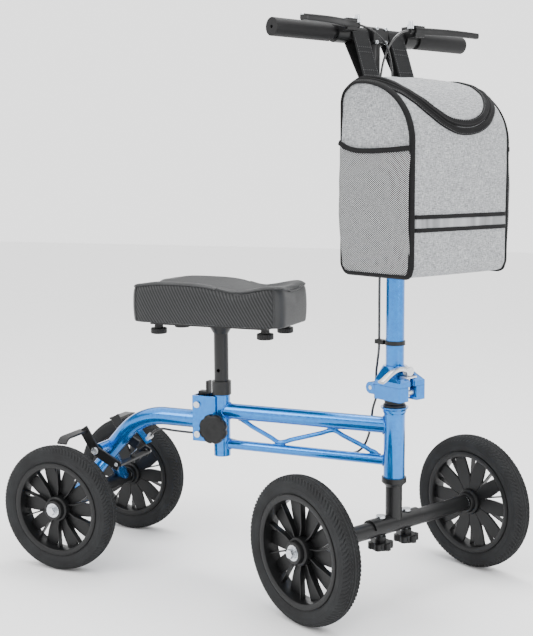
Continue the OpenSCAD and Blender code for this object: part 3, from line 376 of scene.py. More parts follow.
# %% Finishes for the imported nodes
FINISH = {
    "frame_paint": blue_lacquer, "black_metal": black_coat, "bright_steel": zinc,
    "tyre_rubber": tyre_rubber, "wheel_plastic": moulded_nylon, "knob_plastic": moulded_nylon,
    "cable_jacket": cable_jacket, "grip_rubber": soft_rubber, "pad_vinyl": smooth_vinyl,
    "bag_fabric": heather, "webbing": webbing}
slot_of = {s["node"]: s["material_slot"] for s in frame["record"]["subparts"]}
for name, obj in frame["nodes"].items():
    finish = FINISH[slot_of[name]]
    if not obj.material_slots:
        obj.data.materials.append(finish)
    for material_slot in obj.material_slots:
        material_slot.material = finish
for name in ("fold_lever", "fold_bolt", "barrel_adjuster"):
    for material_slot in frame["nodes"][name].material_slots:
        material_slot.material = cast_aluminium
print("dressed", len(slot_of), "nodes")

# %% [markdown]
# ## Helpers for shapes
# A mesh is a list of points and a list of faces. Four small makers cover most pieces:
# a ring turned about an axis, a flat outline with thickness, a section swept along a
# path, and a smooth line through chosen points. Sizes are in millimetres throughout.

# %% Shape helpers
def to_object(name, points, faces, material, place=Matrix(), sharp=35, merge=True):
    """A piece from points in mm, placed by a matrix; edges over `sharp` degrees stay crisp."""
    mesh = bpy.data.meshes.new(name)
    mesh.from_pydata([place @ (Vector(p) * MM) for p in points], [], faces)
    if merge:
        work = bmesh.new()
        work.from_mesh(mesh)
        bmesh.ops.remove_doubles(work, verts=work.verts, dist=0.01 * MM)
        bmesh.ops.recalc_face_normals(work, faces=work.faces)
        work.to_mesh(mesh)
        work.free()
    mesh.shade_smooth()
    mesh.set_sharp_from_angle(angle=math.radians(sharp))
    mesh.materials.append(material)
    obj = bpy.data.objects.new(name, mesh)
    bpy.context.scene.collection.objects.link(obj)
    return obj


def join_parts(parts):
    """Several (points, faces) lists as one."""
    points, faces = [], []
    for some_points, some_faces in parts:
        base = len(points)
        points += [tuple(p) for p in some_points]
        faces += [tuple(base + i for i in f) for f in some_faces]
    return points, faces


def turned(section, steps, size=lambda angle, i: 1.0):
    """A closed section of (radius, along) turned about the Y axis."""
    points, faces, n = [], [], len(section)
    for k in range(steps):
        a = 2 * math.pi * k / steps
        for i, (r, y) in enumerate(section):
            rr = r * size(a, i)
            points.append((rr * math.cos(a), y, rr * math.sin(a)))
    for k in range(steps):
        for i in range(n):
            j, m = (i + 1) % n, (k + 1) % steps
            faces.append((k * n + i, k * n + j, m * n + j, m * n + i))
    return points, faces


def ring_faces(rings, steps):
    """The faces between rings of points that each go all the way round."""
    faces = []
    for j in range(rings - 1):
        low, high = j * steps, (j + 1) * steps
        faces += [(low + k, low + (k + 1) % steps, high + (k + 1) % steps, high + k) for k in range(steps)]
    return faces


def slab(outline, low, high):
    """A flat outline of (x, z) with thickness along Y."""
    n = len(outline)
    points = [(x, low, z) for x, z in outline] + [(x, high, z) for x, z in outline]
    faces = [tuple(range(n)), tuple(range(2 * n - 1, n - 1, -1))]
    faces += [(i, (i + 1) % n, n + (i + 1) % n, n + i) for i in range(n)]
    return points, faces


def smooth_line(knots, step):
    """A smooth line through the knots, with points about `step` mm apart."""
    k = [Vector(p) for p in knots]
    k = [2 * k[0] - k[1]] + k + [2 * k[-1] - k[-2]]
    line = []
    for a, b, c, d in zip(k, k[1:], k[2:], k[3:]):
        n = max(2, round((c - b).length / step))
        for i in range(n):
            t = i / n
            line.append(0.5 * (2 * b + (c - a) * t + (2 * a - 5 * b + 4 * c - d) * t * t
                               + (3 * b - a - 3 * c + d) * t ** 3))
    return line + [k[-2]]


def swept(path, section, normals=None, closed=False, size=lambda t: 1.0):
    """A closed section of (sideways, outwards) carried along a path."""
    path = [Vector(p) for p in path]
    count, n = len(path), len(section)
    normal = Vector(normals[0]) if normals else Vector((0.123, 0.456, 0.881))
    points, faces = [], []
    for k, p in enumerate(path):
        ahead = path[(k + 1) % count] if closed or k < count - 1 else p
        behind = path[k - 1] if closed or k > 0 else p
        way = (ahead - behind).normalized()
        if normals:
            normal = Vector(normals[k])
        normal = (normal - way * normal.dot(way)).normalized()
        aside = way.cross(normal)
        grow = size(k / (count - 1))
        points += [p + grow * (a * aside + b * normal) for a, b in section]
    for k in range(count if closed else count - 1):
        m = (k + 1) % count
        faces += [(k * n + i, k * n + (i + 1) % n, m * n + (i + 1) % n, m * n + i) for i in range(n)]
    if not closed:
        faces += [tuple(range(n)), tuple(range(count * n - 1, (count - 1) * n - 1, -1))]
    return points, faces


def ellipse_section(a, b, n):
    """A closed oval of n points for a swept path."""
    return [(a * math.cos(2 * math.pi * i / n), b * math.sin(2 * math.pi * i / n)) for i in range(n)]


def round_section(r, n=12):
    return ellipse_section(r, r, n)


def settled(obj):
    """The same piece with its modifiers turned into plain mesh."""
    ready = obj.evaluated_get(bpy.context.evaluated_depsgraph_get())
    mesh = bpy.data.meshes.new_from_object(ready)
    obj.modifiers.clear()
    obj.data = mesh
    return obj


print("shape helpers ready")

# %% [markdown]
# ## Wheels
# A tyre is a ring, so its section is turned about the axle. The tread is cut by pushing
# points inwards: four grooves run right round, and slanting sipes cross each shoulder.

# %% Tyres
TYRE_SIPES = 100
TYRE_STEPS = TYRE_SIPES * 5
TREAD_HALF = 15.5
GROOVES_AT = (3.2, 9.2)


def tyre_part(rim_r, out_r):
    tread_y = [TREAD_HALF * (2 * i / 26 - 1) for i in range(27)]
    side = [(rim_r, 16.4), (rim_r + 2.2, 18.0), (rim_r + 6, 19.5), (rim_r + 12, 20.4),
            (rim_r + 13, 20.0), (rim_r + 14, 20.45), (out_r - 9.5, 20.0), (out_r - 7, 18.9),
            (out_r - 5, 17.4)]
    crown = [(out_r - 3.4 * abs(y / TREAD_HALF) ** 2.3, y) for y in tread_y]
    section = [(r, -y) for r, y in side] + crown + [(r, y) for r, y in reversed(side)]

    def cut(angle, i):
        r, y = section[i]
        if r < out_r - 7.5:
            return 1.0
        turn = angle * TYRE_SIPES / (2 * math.pi)
        depth = 0.0
        if any(abs(abs(y) - g) < 0.9 for g in GROOVES_AT):
            depth = 1.7
        elif abs(y) > 9.9 and (turn + abs(y) * 0.13) % 1 < 0.38:
            depth = 2.2
        elif 4.0 < abs(y) < 8.6 and (turn + 0.5 - abs(y) * 0.13) % 1 < 0.38:
            depth = 1.6
        return 1 - depth / r

    return turned(section, TYRE_STEPS, cut)


# %% [markdown]
# The rim is moulded in one piece. Broad petals reach from the hub to the rim, and a thin
# kinked rib runs along each gap between them. One petal with its rib is drawn and
# Geometry Nodes repeat it.

# %% A node tree that repeats a piece round an axle
def repeat_round_tree():
    tree = bpy.data.node_groups.new("repeat round the axle", "GeometryNodeTree")
    tree.interface.new_socket("Geometry", in_out="INPUT", socket_type="NodeSocketGeometry")
    tree.interface.new_socket("Count", in_out="INPUT", socket_type="NodeSocketInt")
    tree.interface.new_socket("Finish", in_out="INPUT", socket_type="NodeSocketMaterial")
    tree.interface.new_socket("Geometry", in_out="OUTPUT", socket_type="NodeSocketGeometry")
    entry = add(tree, "NodeGroupInput")
    spots = add(tree, "GeometryNodePoints", {"Count": entry.outputs["Count"]})
    index = add(tree, "GeometryNodeInputIndex")
    share = add(tree, "ShaderNodeMath",
                {0: index.outputs[0], 1: entry.outputs["Count"]}, operation="DIVIDE")
    angle = add(tree, "ShaderNodeMath", {0: share.outputs[0], 1: 2 * math.pi}, operation="MULTIPLY")
    turn = add(tree, "ShaderNodeCombineXYZ", {"Y": angle.outputs[0]})
    copies = add(tree, "GeometryNodeInstanceOnPoints", {
        "Points": spots.outputs[0], "Instance": entry.outputs["Geometry"], "Rotation": turn.outputs[0]})
    real = add(tree, "GeometryNodeRealizeInstances", {"Geometry": copies.outputs[0]})
    painted = add(tree, "GeometryNodeSetMaterial", {
        "Geometry": real.outputs[0], "Material": entry.outputs["Finish"]})
    add(tree, "NodeGroupOutput", {"Geometry": painted.outputs[0]})
    return tree


def run_tree(obj, tree, values):
    """Runs a node tree on a piece with named inputs and keeps the result as plain mesh."""
    modifier = obj.modifiers.new(tree.name, "NODES")
    modifier.node_group = tree
    for item in tree.interface.items_tree:
        if item.in_out == "INPUT" and item.name in values:
            modifier[item.identifier] = values[item.name]
    return settled(obj)


repeat_round = repeat_round_tree()
print("tree", repeat_round.name)

# %% Rims
HUB_R, PETALS, RIB_HALF = 24.0, 10, 1.1


def polar(r, degrees):
    a = math.radians(degrees)
    return (r * math.cos(a), r * math.sin(a))


def spoke_part(rim_r):
    reach = rim_r - 13
    steps = [i / 9 for i in range(10)]
    radius = [HUB_R + (reach - HUB_R) * t for t in steps]
    width = [min(17.2, math.degrees((11.4 + 2.6 * math.sin(math.pi * t)) / r))
             for t, r in zip(steps, radius)]
    petal = [polar(r, w) for r, w in zip(radius, width)]
    petal += [polar(r, -w) for r, w in reversed(list(zip(radius, width)))]
    kink = [(HUB_R - 1, 22.0), (0.42 * rim_r, 15.5), (reach + 2, 18.0)]
    rib = [polar(r, a + math.degrees(RIB_HALF / r)) for r, a in kink]
    rib += [polar(r, a - math.degrees(RIB_HALF / r)) for r, a in reversed(kink)]
    return join_parts([slab(petal, 3, 8), slab(rib, -7, 4)])


def rim_part(rim_r):
    ring = [(0, 16.2), (1.3, 15.6), (2.2, 17.6), (4, 18.2), (10.6, 17.7), (12.2, 16.4), (13.8, 9),
            (14.4, 1)]
    section = [(rim_r - d, -y) for d, y in ring] + [(rim_r - d, y) for d, y in reversed(ring)]
    half = [(9.5, 16.9), (14.05, 16.9), (14.05, 24.6), (15.2, 25.0), (17.4, 25.0), (19.2, 24.2),
            (20.4, 21.5), (20.8, 15.5), (24.4, 13.8), (25.6, 10.5), (25.6, 3)]
    hub = [(r, -y) for r, y in half] + [(r, y) for r, y in reversed(half)]
    return join_parts([turned(section, 120), turned(hub, 64)])


def merged(name, parts, material, body, place=Matrix(), replaces=(), sharp=35):
    """Joins parts into one piece and rides it on its body."""
    points, faces = join_parts(parts)
    obj = to_object(name, points, faces, material, place, sharp)
    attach(obj, body)
    if replaces:
        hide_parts(*replaces)
    return obj


# %% Fit the wheels
half_turn = Matrix.Rotation(math.pi, 4, "Z")
for axle in ("front", "rear"):
    low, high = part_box(f"{axle}_tyre_right")
    out_r = (high.z - low.z) / 2 / MM
    low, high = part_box(f"{axle}_rim_right")
    rim_r = (high.z - low.z) / 2 / MM
    tyre, rim, spoke = tyre_part(rim_r, out_r - 0.05), rim_part(rim_r), spoke_part(rim_r)
    for hand in ("right", "left"):
        hub_at = Matrix.Translation(joints[f"{axle}_wheel_{hand}_spin"]["pos_m"])
        place = hub_at @ (STEER_TURN if axle == "front" else Matrix())
        if hand == "left":
            place = place @ half_turn
        body = f"{axle}_wheel_{hand}"
        merged(f"{body}_tread", [tyre], tyre_rubber, body, place,
               [f"{axle}_tyre_{hand}"], 25)
        spokes = to_object(f"{body}_spokes", *spoke, moulded_nylon)
        run_tree(spokes, repeat_round, {"Count": PETALS, "Finish": moulded_nylon})
        spokes.data.transform(place)
        spokes.data.set_sharp_from_angle(angle=math.radians(35))
        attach(spokes, body)
        merged(f"{body}_rim", [rim], moulded_nylon, body, place, [f"{axle}_rim_{hand}"])
print("wheels fitted")

# %% [markdown]
# ## Knobs and levers
# A screw knob has rounded lobes for the fingers and a shallow dish in its face. Its
# outline is a circle pressed in at even spaces, so one polar grid with a height for
# every ring gives the whole shape without any cutting.

# %% Lobed knobs
def lobed_part(out_r, lobes, press, rings, start_turn=0.0):
    """Rings of (share of the radius, along) whose outline swells in and out around Y."""
    steps = lobes * 16
    points = []
    for share, y in rings:
        for k in range(steps):
            a = 2 * math.pi * k / steps
            dip = press * (0.5 - 0.5 * math.cos(lobes * a + start_turn)) ** 4 * min(1, share * share)
            r = (out_r - dip) * share
            points.append((r * math.cos(a), y, r * math.sin(a)))
    ends = [tuple(j * steps + k for k in range(steps)) for j in (0, len(rings) - 1)]
    return points, ring_faces(len(rings), steps) + ends


knob_low, knob_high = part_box("seat_knob")
knob_face = knob_low.y / MM
knob_at = joints["seat_knob_turn"]["pos_m"]
seat_rings = [(0.01, 0.4), (0.2, 0.3), (0.3, 2.0), (0.42, 2.2), (0.52, 0.6), (0.7, 0.2), (0.88, 1.4),
              (0.97, 3.4), (1.0, 6.0), (1.0, 11.0), (0.97, 14.5), (0.9, 16.0), (0.42, 16.0), (0.41, 23.0),
              (0.2, 23.0), (0.01, 23.0)]
place = Matrix.Translation((knob_at[0], 0, knob_at[2])) @ Matrix.Translation((0, knob_face * MM, 0))
knob_r = (knob_high.x - knob_low.x) / 2 / MM
shank = slab([polar(4, a) for a in range(0, 360, 20)], 20, 36)
merged("seat_lock_knob", [lobed_part(knob_r * 1.1, 8, 2.4, seat_rings, math.pi), shank], moulded_nylon,
       "seat_knob", place, ["seat_knob"])

pad_knob_low, pad_knob_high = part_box("pad_knobs")
ribbed_rings = [(0.01, 0), (0.8, 0), (0.93, 0.6), (1.0, 2.2), (1.0, 10.2), (0.93, 11.6), (0.55, 12),
                (0.5, 19), (0.19, 19), (0.18, 27), (0.01, 27)]
knobs = []
for sx in (pad_knob_low.x + 16 * MM, pad_knob_high.x - 16 * MM):
    for sy in (pad_knob_low.y + 16 * MM, pad_knob_high.y - 16 * MM):
        points, faces = lobed_part(16, 24, 1.2, ribbed_rings)
        knobs.append(([(x + sx / MM, z + sy / MM, y + pad_knob_low.z / MM) for x, y, z in points], faces))
merged("pad_clamping_knobs", knobs, moulded_nylon, "seat", Matrix(), ["pad_knobs"])
print("knobs", round(knob_r, 1))

# %% [markdown]
# ## Brake levers
# A brake blade is a flat pressing: deep near its pivot, thin and curled at its tip, and
# bent away from the grip on the way. A rounded section swept along a curve gives all of
# it, and the right one is the left one mirrored with its faces turned again.

# %% Brake lever blades
PIVOT, TIP, BLADE_Z, PERCH_TOP = (-32, 79), (-4, 218), 1041, 1049.6


def blade_section(n=20):
    """A rounded square of half size 1, which each point of a blade stretches to its own size."""
    return [(math.copysign(abs(a) ** 0.6, a), math.copysign(abs(b) ** 0.6, b))
            for a, b in round_section(1, n)]


def lever_part(side):
    run = smooth_line([(PIVOT[0] + 1, PIVOT[1] - 4, BLADE_Z), (PIVOT[0] + 3, PIVOT[1] + 16, BLADE_Z),
                       (PIVOT[0] + 10, PIVOT[1] + 38, BLADE_Z), (-13, 150, BLADE_Z), (-7, 188, BLADE_Z),
                       (TIP[0], TIP[1], BLADE_Z)], 3)
    n = len(run)
    points = []
    shape = blade_section()
    for k, p in enumerate(run):
        t = k / (n - 1)
        way = (run[min(k + 1, n - 1)] - run[max(k - 1, 0)]).normalized()
        out = Vector((way.y, -way.x, 0))
        deep = 7.0 - 1.6 * t
        wide = 6.8 - 2.6 * min(1, t * 3) + 0.7 * math.sin(math.pi * t) + (1.4 if t > 0.94 else 0)
        points += [p + out * wide * a + Vector((0, 0, deep * b - 2.2 * t * t)) for a, b in shape]
    m = len(shape)
    ends = [tuple(range(m)), tuple(range(n * m - 1, (n - 1) * m - 1, -1))]
    return [(x, y * side, z) for x, y, z in points], ring_faces(n, m) + ends


def capped_rings(rings, steps):
    """Rings of points as a closed shape, with a flat face over each end."""
    points = [p for ring in rings for p in ring]
    ends = [tuple(range(steps)), tuple(range(len(points) - steps, len(points)))]
    return points, ring_faces(len(rings), steps) + ends


def screw_head(x, y, z, r, h):
    """A small cap screw standing along Z, with a round socket."""
    steps = 18
    profile = [(r, 0), (r, h * 0.75), (r * 0.86, h), (r * 0.5, h), (r * 0.46, h * 0.35)]
    return capped_rings([[(x + a, y + b, z + up) for a, b in round_section(reach, steps)]
                         for reach, up in profile], steps)


def crown(x, y, z, r, h):
    """A knurled barrel that stands along Z, made of a ribbed skirt and a smooth neck."""
    steps = 48
    rings = []
    for share, up in ((0.1, 0), (1, 0), (1, h * 0.45), (0.62, h * 0.5), (0.62, h * 0.85), (0.1, h * 0.9)):
        ring = []
        for k, (a, b) in enumerate(round_section(r * share, steps)):
            groove = 0.9 if share == 1 and k % 4 < 2 else 1
            ring.append((x + a * groove, y + b * groove, z + up))
        rings.append(ring)
    return capped_rings(rings, steps)


for side, hand in ((1, "left"), (-1, "right")):
    body = f"brake_lever_{hand}"
    merged(f"brake_blade_{hand}", [lever_part(side)], black_coat, body, STEER, [body])
    tip_screw = screw_head(TIP[0], TIP[1] * side, BLADE_Z + 0.8, 3.4, 2.6)
    merged(f"blade_tip_screw_{hand}", [tip_screw], zinc, body, STEER)
    small = [screw_head(x, y * side, PERCH_TOP, r, h) for x, y, r, h in (
        (*PIVOT, 4.6, 2.6), (-46, 79, 3.0, 2.2), (-46, 92, 3.0, 2.2), (-30, 93, 2.6, 2.0))]
    small.append(crown(-32, 67 * side, 1044.2, 6.2, 16))
    merged(f"perch_screws_{hand}", small, zinc, "stem", STEER)
clamp_screws = []
for sy in (-11, 11):
    for z in (1016, 1040):
        points, faces = screw_head(0, 0, 0, 3.4, 3)
        clamp_screws.append(([(-41.2 + zz, sy + x, z + y) for x, y, zz in points], faces))
merged("bar_clamp_screws", clamp_screws, zinc, "stem", STEER)
print("levers and screws made")

# %% [markdown]
# ## Quick release lever
# The lever that opens the fold is cast and polished. It rises from its cam in a curve
# like a bottle opener and gets broader and flatter towards the thumb.

# %% Fold lever
cam = Vector(joints["fold_lever_turn"]["pos_m"])
cam_local = STEER.inverted() @ cam / MM
drop = math.radians(6)
tail = []
for along, up in ((2, 0), (10, 4.5), (22, 8.5), (36, 8), (50, 3.5), (62, -2.5), (70, -5)):
    tail.append(Vector((0, -along * math.cos(drop) + up * math.sin(drop) * 0.4,
                        up * math.cos(drop) - along * math.sin(drop))) + Vector(cam_local))
tail = smooth_line(tail, 2.5)
arm = swept(tail, blade_section(), normals=[(0, 0.2, 1)] * len(tail))
count, width = len(tail), len(blade_section())
arm_points = []
for k in range(count):
    t = k / (count - 1)
    middle = tail[k]
    half_wide, half_thick = 4.6 + 3.0 * t, 4.8 - 2.0 * t
    for i in range(width):
        p = arm[0][k * width + i] - middle
        arm_points.append(middle + Vector((p.x * half_wide, 0, 0)) + (p - Vector((p.x, 0, 0))) * half_thick)
CAM_R, CAM_STEPS = 9, 40


def cam_cheek(low, high):
    """One of the two round cheeks of the cam, with its edges broken."""
    profile = [(0.5, low), (0.92, low), (1, low + 0.8), (1, high - 0.8), (0.92, high), (0.5, high)]
    rings = [[cam_local + Vector((x, a, b)) for a, b in round_section(CAM_R * share, CAM_STEPS)]
             for share, x in profile]
    return capped_rings(rings, CAM_STEPS)


merged("quick_release_lever", [(arm_points, arm[1]), cam_cheek(-6, -3.8), cam_cheek(3.8, 6)],
       cast_aluminium, "fold_lever", STEER, ["fold_lever"])
print("fold lever made", [round(v, 1) for v in cam_local])

# %% [markdown]
# ## Cables
# A cable is steel wire in a plastic jacket, clipped at both ends, so it is not a free
# cord. It runs from one body to the next. Each stretch that crosses a joint is fixed
# where it is drawn and does not bend; the others ride on their bodies.

# %% Cables
CABLE_R, LEVER_CABLE_R = 2.3, 2.0


def steer_world(p):
    return STEER @ (Vector(p) * MM) / MM


column_run = [steer_world(p) for p in (
    (-28, -12, 648), (-28, -12, 620), (-29, -12, 580), (-29, -12, 530), (-29, -12, 490), (-30.5, -11, 462),
    (-37, -8, 437), (-44, -4, 416), (-47, -1, 396), (-47.5, 1, 372))]
head_x = head.x / MM
frame_run = [Vector(p) for p in (
    (head_x - 48, 18, 345), (head_x - 52, 21, 320), (head_x - 57, 20, 292), (head_x - 68, 16, 268),
    (head_x - 90, 13, 256), (head_x - 150, 13, 254), (head_x - 240, 13, 254), (SEAT_X + 60, 14, 254),
    (SEAT_X + 28, 19, 255), (SEAT_X, 24, 257), (SEAT_X - 30, 25, 260), (SEAT_X - 58, 22, 263),
    (SEAT_X - 85, 13, 265), (SEAT_X - 115, 4, 268), (SEAT_X - 138, 1, 270))]
boot_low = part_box("cable_boot")[0]
adjust_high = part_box("barrel_adjuster")[1]
down = Vector((-math.cos(math.radians(43)), 0, -math.sin(math.radians(43))))
mouth = Vector((adjust_high.x / MM - 3.5, 0, adjust_high.z / MM - 3.5))
frame_run += [mouth - 12 * down, mouth + 2 * down]
whole = smooth_line(column_run + frame_run, 3)


def stretch(line, start, end):
    """The part of a line between the points nearest to two places."""
    near = [min(range(len(line)), key=lambda i: (line[i] - q).length) for q in (start, end)]
    return line[near[0]:near[1] + 1]


def cable_part(name, line, radius, **ways):
    points, faces = swept(line, round_section(radius))
    obj = to_object(name, points, faces, cable_jacket)
    if "between" in ways:
        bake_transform(obj)
    else:
        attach(obj, ways["body"])
    return obj


top_cut, hinge_cut, head_cut = column_run[4], column_run[8], frame_run[2]
column_piece = cable_part("brake_cable_on_column", stretch(whole, column_run[0], top_cut), CABLE_R,
                          body="column")
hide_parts("main_cable")
cable_part("brake_cable_past_fold", stretch(whole, top_cut, hinge_cut), CABLE_R,
           between=("column", "steering", top_cut, hinge_cut))
cable_part("brake_cable_past_head", stretch(whole, hinge_cut, head_cut), CABLE_R,
           between=("steering", "frame", hinge_cut, head_cut))
cable_part("brake_cable_on_frame", stretch(whole, head_cut, frame_run[-1]), CABLE_R, body="frame")

left_run = [
    (-32, 66, 1041), (-31, 52, 1039), (-30, 38, 1034), (-30, 22, 1023), (-31, 8, 1005), (-32, -3, 980),
    (-32, -10, 950), (-32, -15, 915), (-32, -17, 880), (-31, -18, 845), (-30, -17, 800), (-29, -16, 750),
    (-28, -14, 710), (-28, -14.5, 678)]
right_run = [
    (-32, -66, 1041), (-31, -52, 1039), (-30, -38, 1035), (-27, -20, 1026), (-25, -4, 1012), (-26, 8, 990),
    (-28, 16, 960), (-31, 19, 920), (-33, 19.5, 885), (-33, 19, 850), (-32, 15, 810), (-30, 4, 760),
    (-28, -6, 715), (-28, -9.5, 678)]
joiner_top, bar_side = steer_world((-28, -12, 684)), steer_world((-28, -12, 850))
for hand, route in (("left", left_run), ("right", right_run)):
    line = smooth_line([steer_world(p) for p in route], 3)
    piece = cable_part(f"lever_cable_{hand}", line, LEVER_CABLE_R,
                       between=("column", "stem", joiner_top, bar_side))
    if hand == "left":
        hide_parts("lever_cables")

arm_low, arm_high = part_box("brake_arm")
boot_end = Vector((boot_low.x / MM + 3, 0, boot_low.z / MM + 3))
pinch = boot_end + 26 * down
inner = swept(smooth_line([boot_end - 4 * down, boot_end + 10 * down, pinch], 2), round_section(0.9, 8))
wire = to_object("inner_brake_wire", *inner, zinc)
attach(wire, "brake_arm")
print("cables", len(whole), "brake arm from z", round(arm_low.z / MM), "to", round(arm_high.z / MM))

# %% [markdown]
# ## Rear brake arms
# Each arm is a flat steel bar cut to a bend, and a second bar reaches out over the tyre
# and turns down onto the tread. Sweeping a flat section along a line makes both.

# %% Rear brake arms
def flat_section(wide, thick, edge=0.7):
    a, b = wide / 2, thick / 2
    return [(-a, -b + edge), (-a + edge, -b), (a - edge, -b), (a, -b + edge),
            (a, b - edge), (a - edge, b), (-a + edge, b), (-a, b - edge)]


def sideways_screw(x, y, z, r, h, way):
    """A cap screw that stands along Y."""
    points, faces = screw_head(0, 0, 0, r, h)
    return [(x + a, y + way * c, z + b * way) for a, b, c in points], faces


pivot = Vector(joints["rear_brake"]["pos_m"]) / MM
ARM_Y, ARM_T = 60, 5
OUTER_FACE = ARM_Y + ARM_T / 2 - 0.2
INNER_FACE = ARM_Y - ARM_T / 2 - 0.2
arm_top = Vector((pivot.x - 27, 0, pivot.z + 40))
arm_foot = Vector((pivot.x + 49, 0, pivot.z - 24))
tread_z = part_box("rear_tyre_right")[1].z / MM
BAR_RISE = 13.5
arms = []
for side in (-1, 1):
    across = Vector((0, side * ARM_Y, 0))
    plate = [arm_foot + Vector((5, 0, -4)), pivot + Vector((0, 0, -1)), pivot + Vector((-3, 0, 3)),
             arm_top + Vector((-3, 0, 4))]
    arms.append(swept([p + across for p in plate], flat_section(21, ARM_T), [(0, 1, 0)] * len(plate)))
    over = [(ARM_Y - 2.4, BAR_RISE), (121, BAR_RISE), (126, 12.4), (130, 9.6), (136, 3.6)]
    line = [Vector((arm_top.x - 3, side * y, tread_z + rise)) for y, rise in over]
    ups = [(0, 0, 1), (0, 0, 1), (0, side * 0.35, 1), (0, side * 0.75, 1), (0, side * 1.0, 1)]
    arms.append(swept(line, flat_section(22, 4.5), ups))
    arms.append(sideways_screw(arm_foot.x, side * INNER_FACE, arm_foot.z, 5.5, 6, -side))
link = [Vector((arm_foot.x + 2, y, arm_foot.z - 1.5)) for y in (-ARM_Y, ARM_Y)]
arms.append(swept(link, flat_section(16, 5), [(0, 0, 1)] * 2))
arms.append(swept([Vector((arm_foot.x, 0, arm_foot.z + z)) for z in (-11, 7)], round_section(5.4, 24)))
arms.append(swept([Vector((pivot.x, y, pivot.z)) for y in (-ARM_Y, ARM_Y)], round_section(5, 24)))
merged("brake_arms", arms, black_coat, "brake_arm", Matrix(), ["brake_arm"], 40)
bolts = [sideways_screw(pivot.x, side * OUTER_FACE, pivot.z, 7.6, 4.6, side) for side in (-1, 1)]
bolts += [sideways_screw(arm_foot.x, side * OUTER_FACE, arm_foot.z, 4.0, 2.4, side) for side in (-1, 1)]
merged("brake_arm_bolts", bolts, zinc, "brake_arm", Matrix())
print("brake bars", round(tread_z + BAR_RISE), "mm up")

# %% [markdown]
# ## Truss rod and welds
# The rod between the main tubes is one bar bent to a zigzag. Its bends are round and
# lie against the tubes, and a bead of weld under the lacquer closes every joint.

# %% Truss rod and weld beads
def weld_bead(path, r, closed=False):
    """A bead with the small scallops that a welder's weave leaves."""
    line = smooth_line(path, 0.8)
    if closed:
        line = line[:-1]
    return swept(line, round_section(r, 8), closed=closed,
                 size=lambda t: 1 + 0.16 * math.sin(t * len(line) * 1.9))


tube_boxes = {n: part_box(n) for n in ("top_tube", "lower_tube")}
tube_z = {n: (b[0].z + b[1].z) / 2 / MM for n, b in tube_boxes.items()}
tube_r = {n: (b[1].z - b[0].z) / 2 / MM for n, b in tube_boxes.items()}
high_z = tube_z["top_tube"] - tube_r["top_tube"] - 4.0
low_z = tube_z["lower_tube"] + tube_r["lower_tube"] + 4.0
bends = [(SEAT_X + 49, high_z), (SEAT_X + 124, low_z), (SEAT_X + 236, high_z), (head_x - 38, low_z)]
rod_line = [Vector((bends[0][0] - 5, 0, high_z + 4))]
for (x0, z0), (x1, z1) in zip(bends, bends[1:]):
    for t in (0.12, 0.22, 0.5, 0.78, 0.88):
        ease = t if 0.2 < t < 0.8 else (0.09 if t < 0.5 else 0.91)
        rod_line.append(Vector((x0 + (x1 - x0) * t, 0, z0 + (z1 - z0) * ease)))
    rod_line.append(Vector((x1, 0, z1)))
rod_line.append(Vector((bends[3][0] + 5, 0, low_z - 4)))
rod_parts = [swept(smooth_line(rod_line, 3), round_section(4.5, 16))]
for i, (x, z) in enumerate(bends):
    touch = z + (3.6 if i % 2 == 0 else -3.6)
    for sy in (-1, 1):
        beside = [(x - 11, 3.2 * sy, touch), (x, 4.4 * sy, touch), (x + 11, 3.2 * sy, touch)]
        rod_parts.append(weld_bead(beside, 1.5))
merged("truss_rod_and_welds", rod_parts, blue_lacquer, "frame", Matrix(), ["truss_rod"], 60)

seat_r = (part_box("seat_tube")[1].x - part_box("seat_tube")[0].x) / 2 / MM
head_r = 19.8
beads = []
for node, z in tube_z.items():
    r = tube_r[node] + 0.6
    for x_post, post_r, way in ((SEAT_X, seat_r, 1), (head_x, head_r, -1)):
        ring = []
        for k in range(25):
            a = 2 * math.pi * k / 24
            y = r * math.sin(a)
            out = math.sqrt(max(1, (post_r + 0.8) ** 2 - y * y)) + 0.3
            ring.append((x_post + way * out, y, z + r * math.cos(a)))
        beads.append(weld_bead(ring, 1.6, closed=True))
merged("frame_weld_beads", beads, blue_lacquer, "frame", Matrix(), sharp=60)
print("rod between", round(low_z), "and", round(high_z))

# %% [markdown]
# ## Knee rest
# The real pad is a shaped foam block on a board, with a sewn cover pulled over it. Its
# sides stand up into two lips, lower towards the front, with a trough between them. The
# cover is one closed grid of rings: under the board, up the walls, and in over the top,
# so that the sewn edges fall on grid lines. Cloth then lets the cover swell a little.

# %% Knee rest shape
pad_low, pad_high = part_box("knee_pad")
PAD_X0, PAD_X1 = pad_low.x / MM + 2, pad_high.x / MM - 2
PAD_HALF = (pad_high.y - pad_low.y) / 2 / MM - 2
PAD_Z0, PAD_Z1 = pad_low.z / MM, pad_high.z / MM
PAD_CORNER = 26


def rounded_plan(x0, x1, half, corner, step):
    """A rounded rectangle, walked from the middle of the rear end and to the rider's right."""
    knots = []
    for cx, cy, start in ((x0 + corner, -half + corner, 180), (x1 - corner, -half + corner, 270),
                          (x1 - corner, half - corner, 0), (x0 + corner, half - corner, 90)):
        turns = [math.radians(start + a) for a in range(0, 91, 6)]
        knots += [(cx + corner * math.cos(a), cy + corner * math.sin(a)) for a in turns]
    line = np.array(knots + [knots[0]])
    length = np.concatenate([[0], np.cumsum(np.hypot(*np.diff(line, axis=0).T))])
    even = np.linspace(0, length[-1], round(length[-1] / step), endpoint=False)
    return np.stack([np.interp(even, length, line[:, i]) for i in (0, 1)], 1)


def pad_lip(x):
    u = (x - PAD_X0) / (PAD_X1 - PAD_X0)
    return PAD_Z1 - 2 - 11 * math.exp(-((u - 0.72) / 0.16) ** 2) - 5 * math.exp(-((u - 0.05) / 0.1) ** 2)


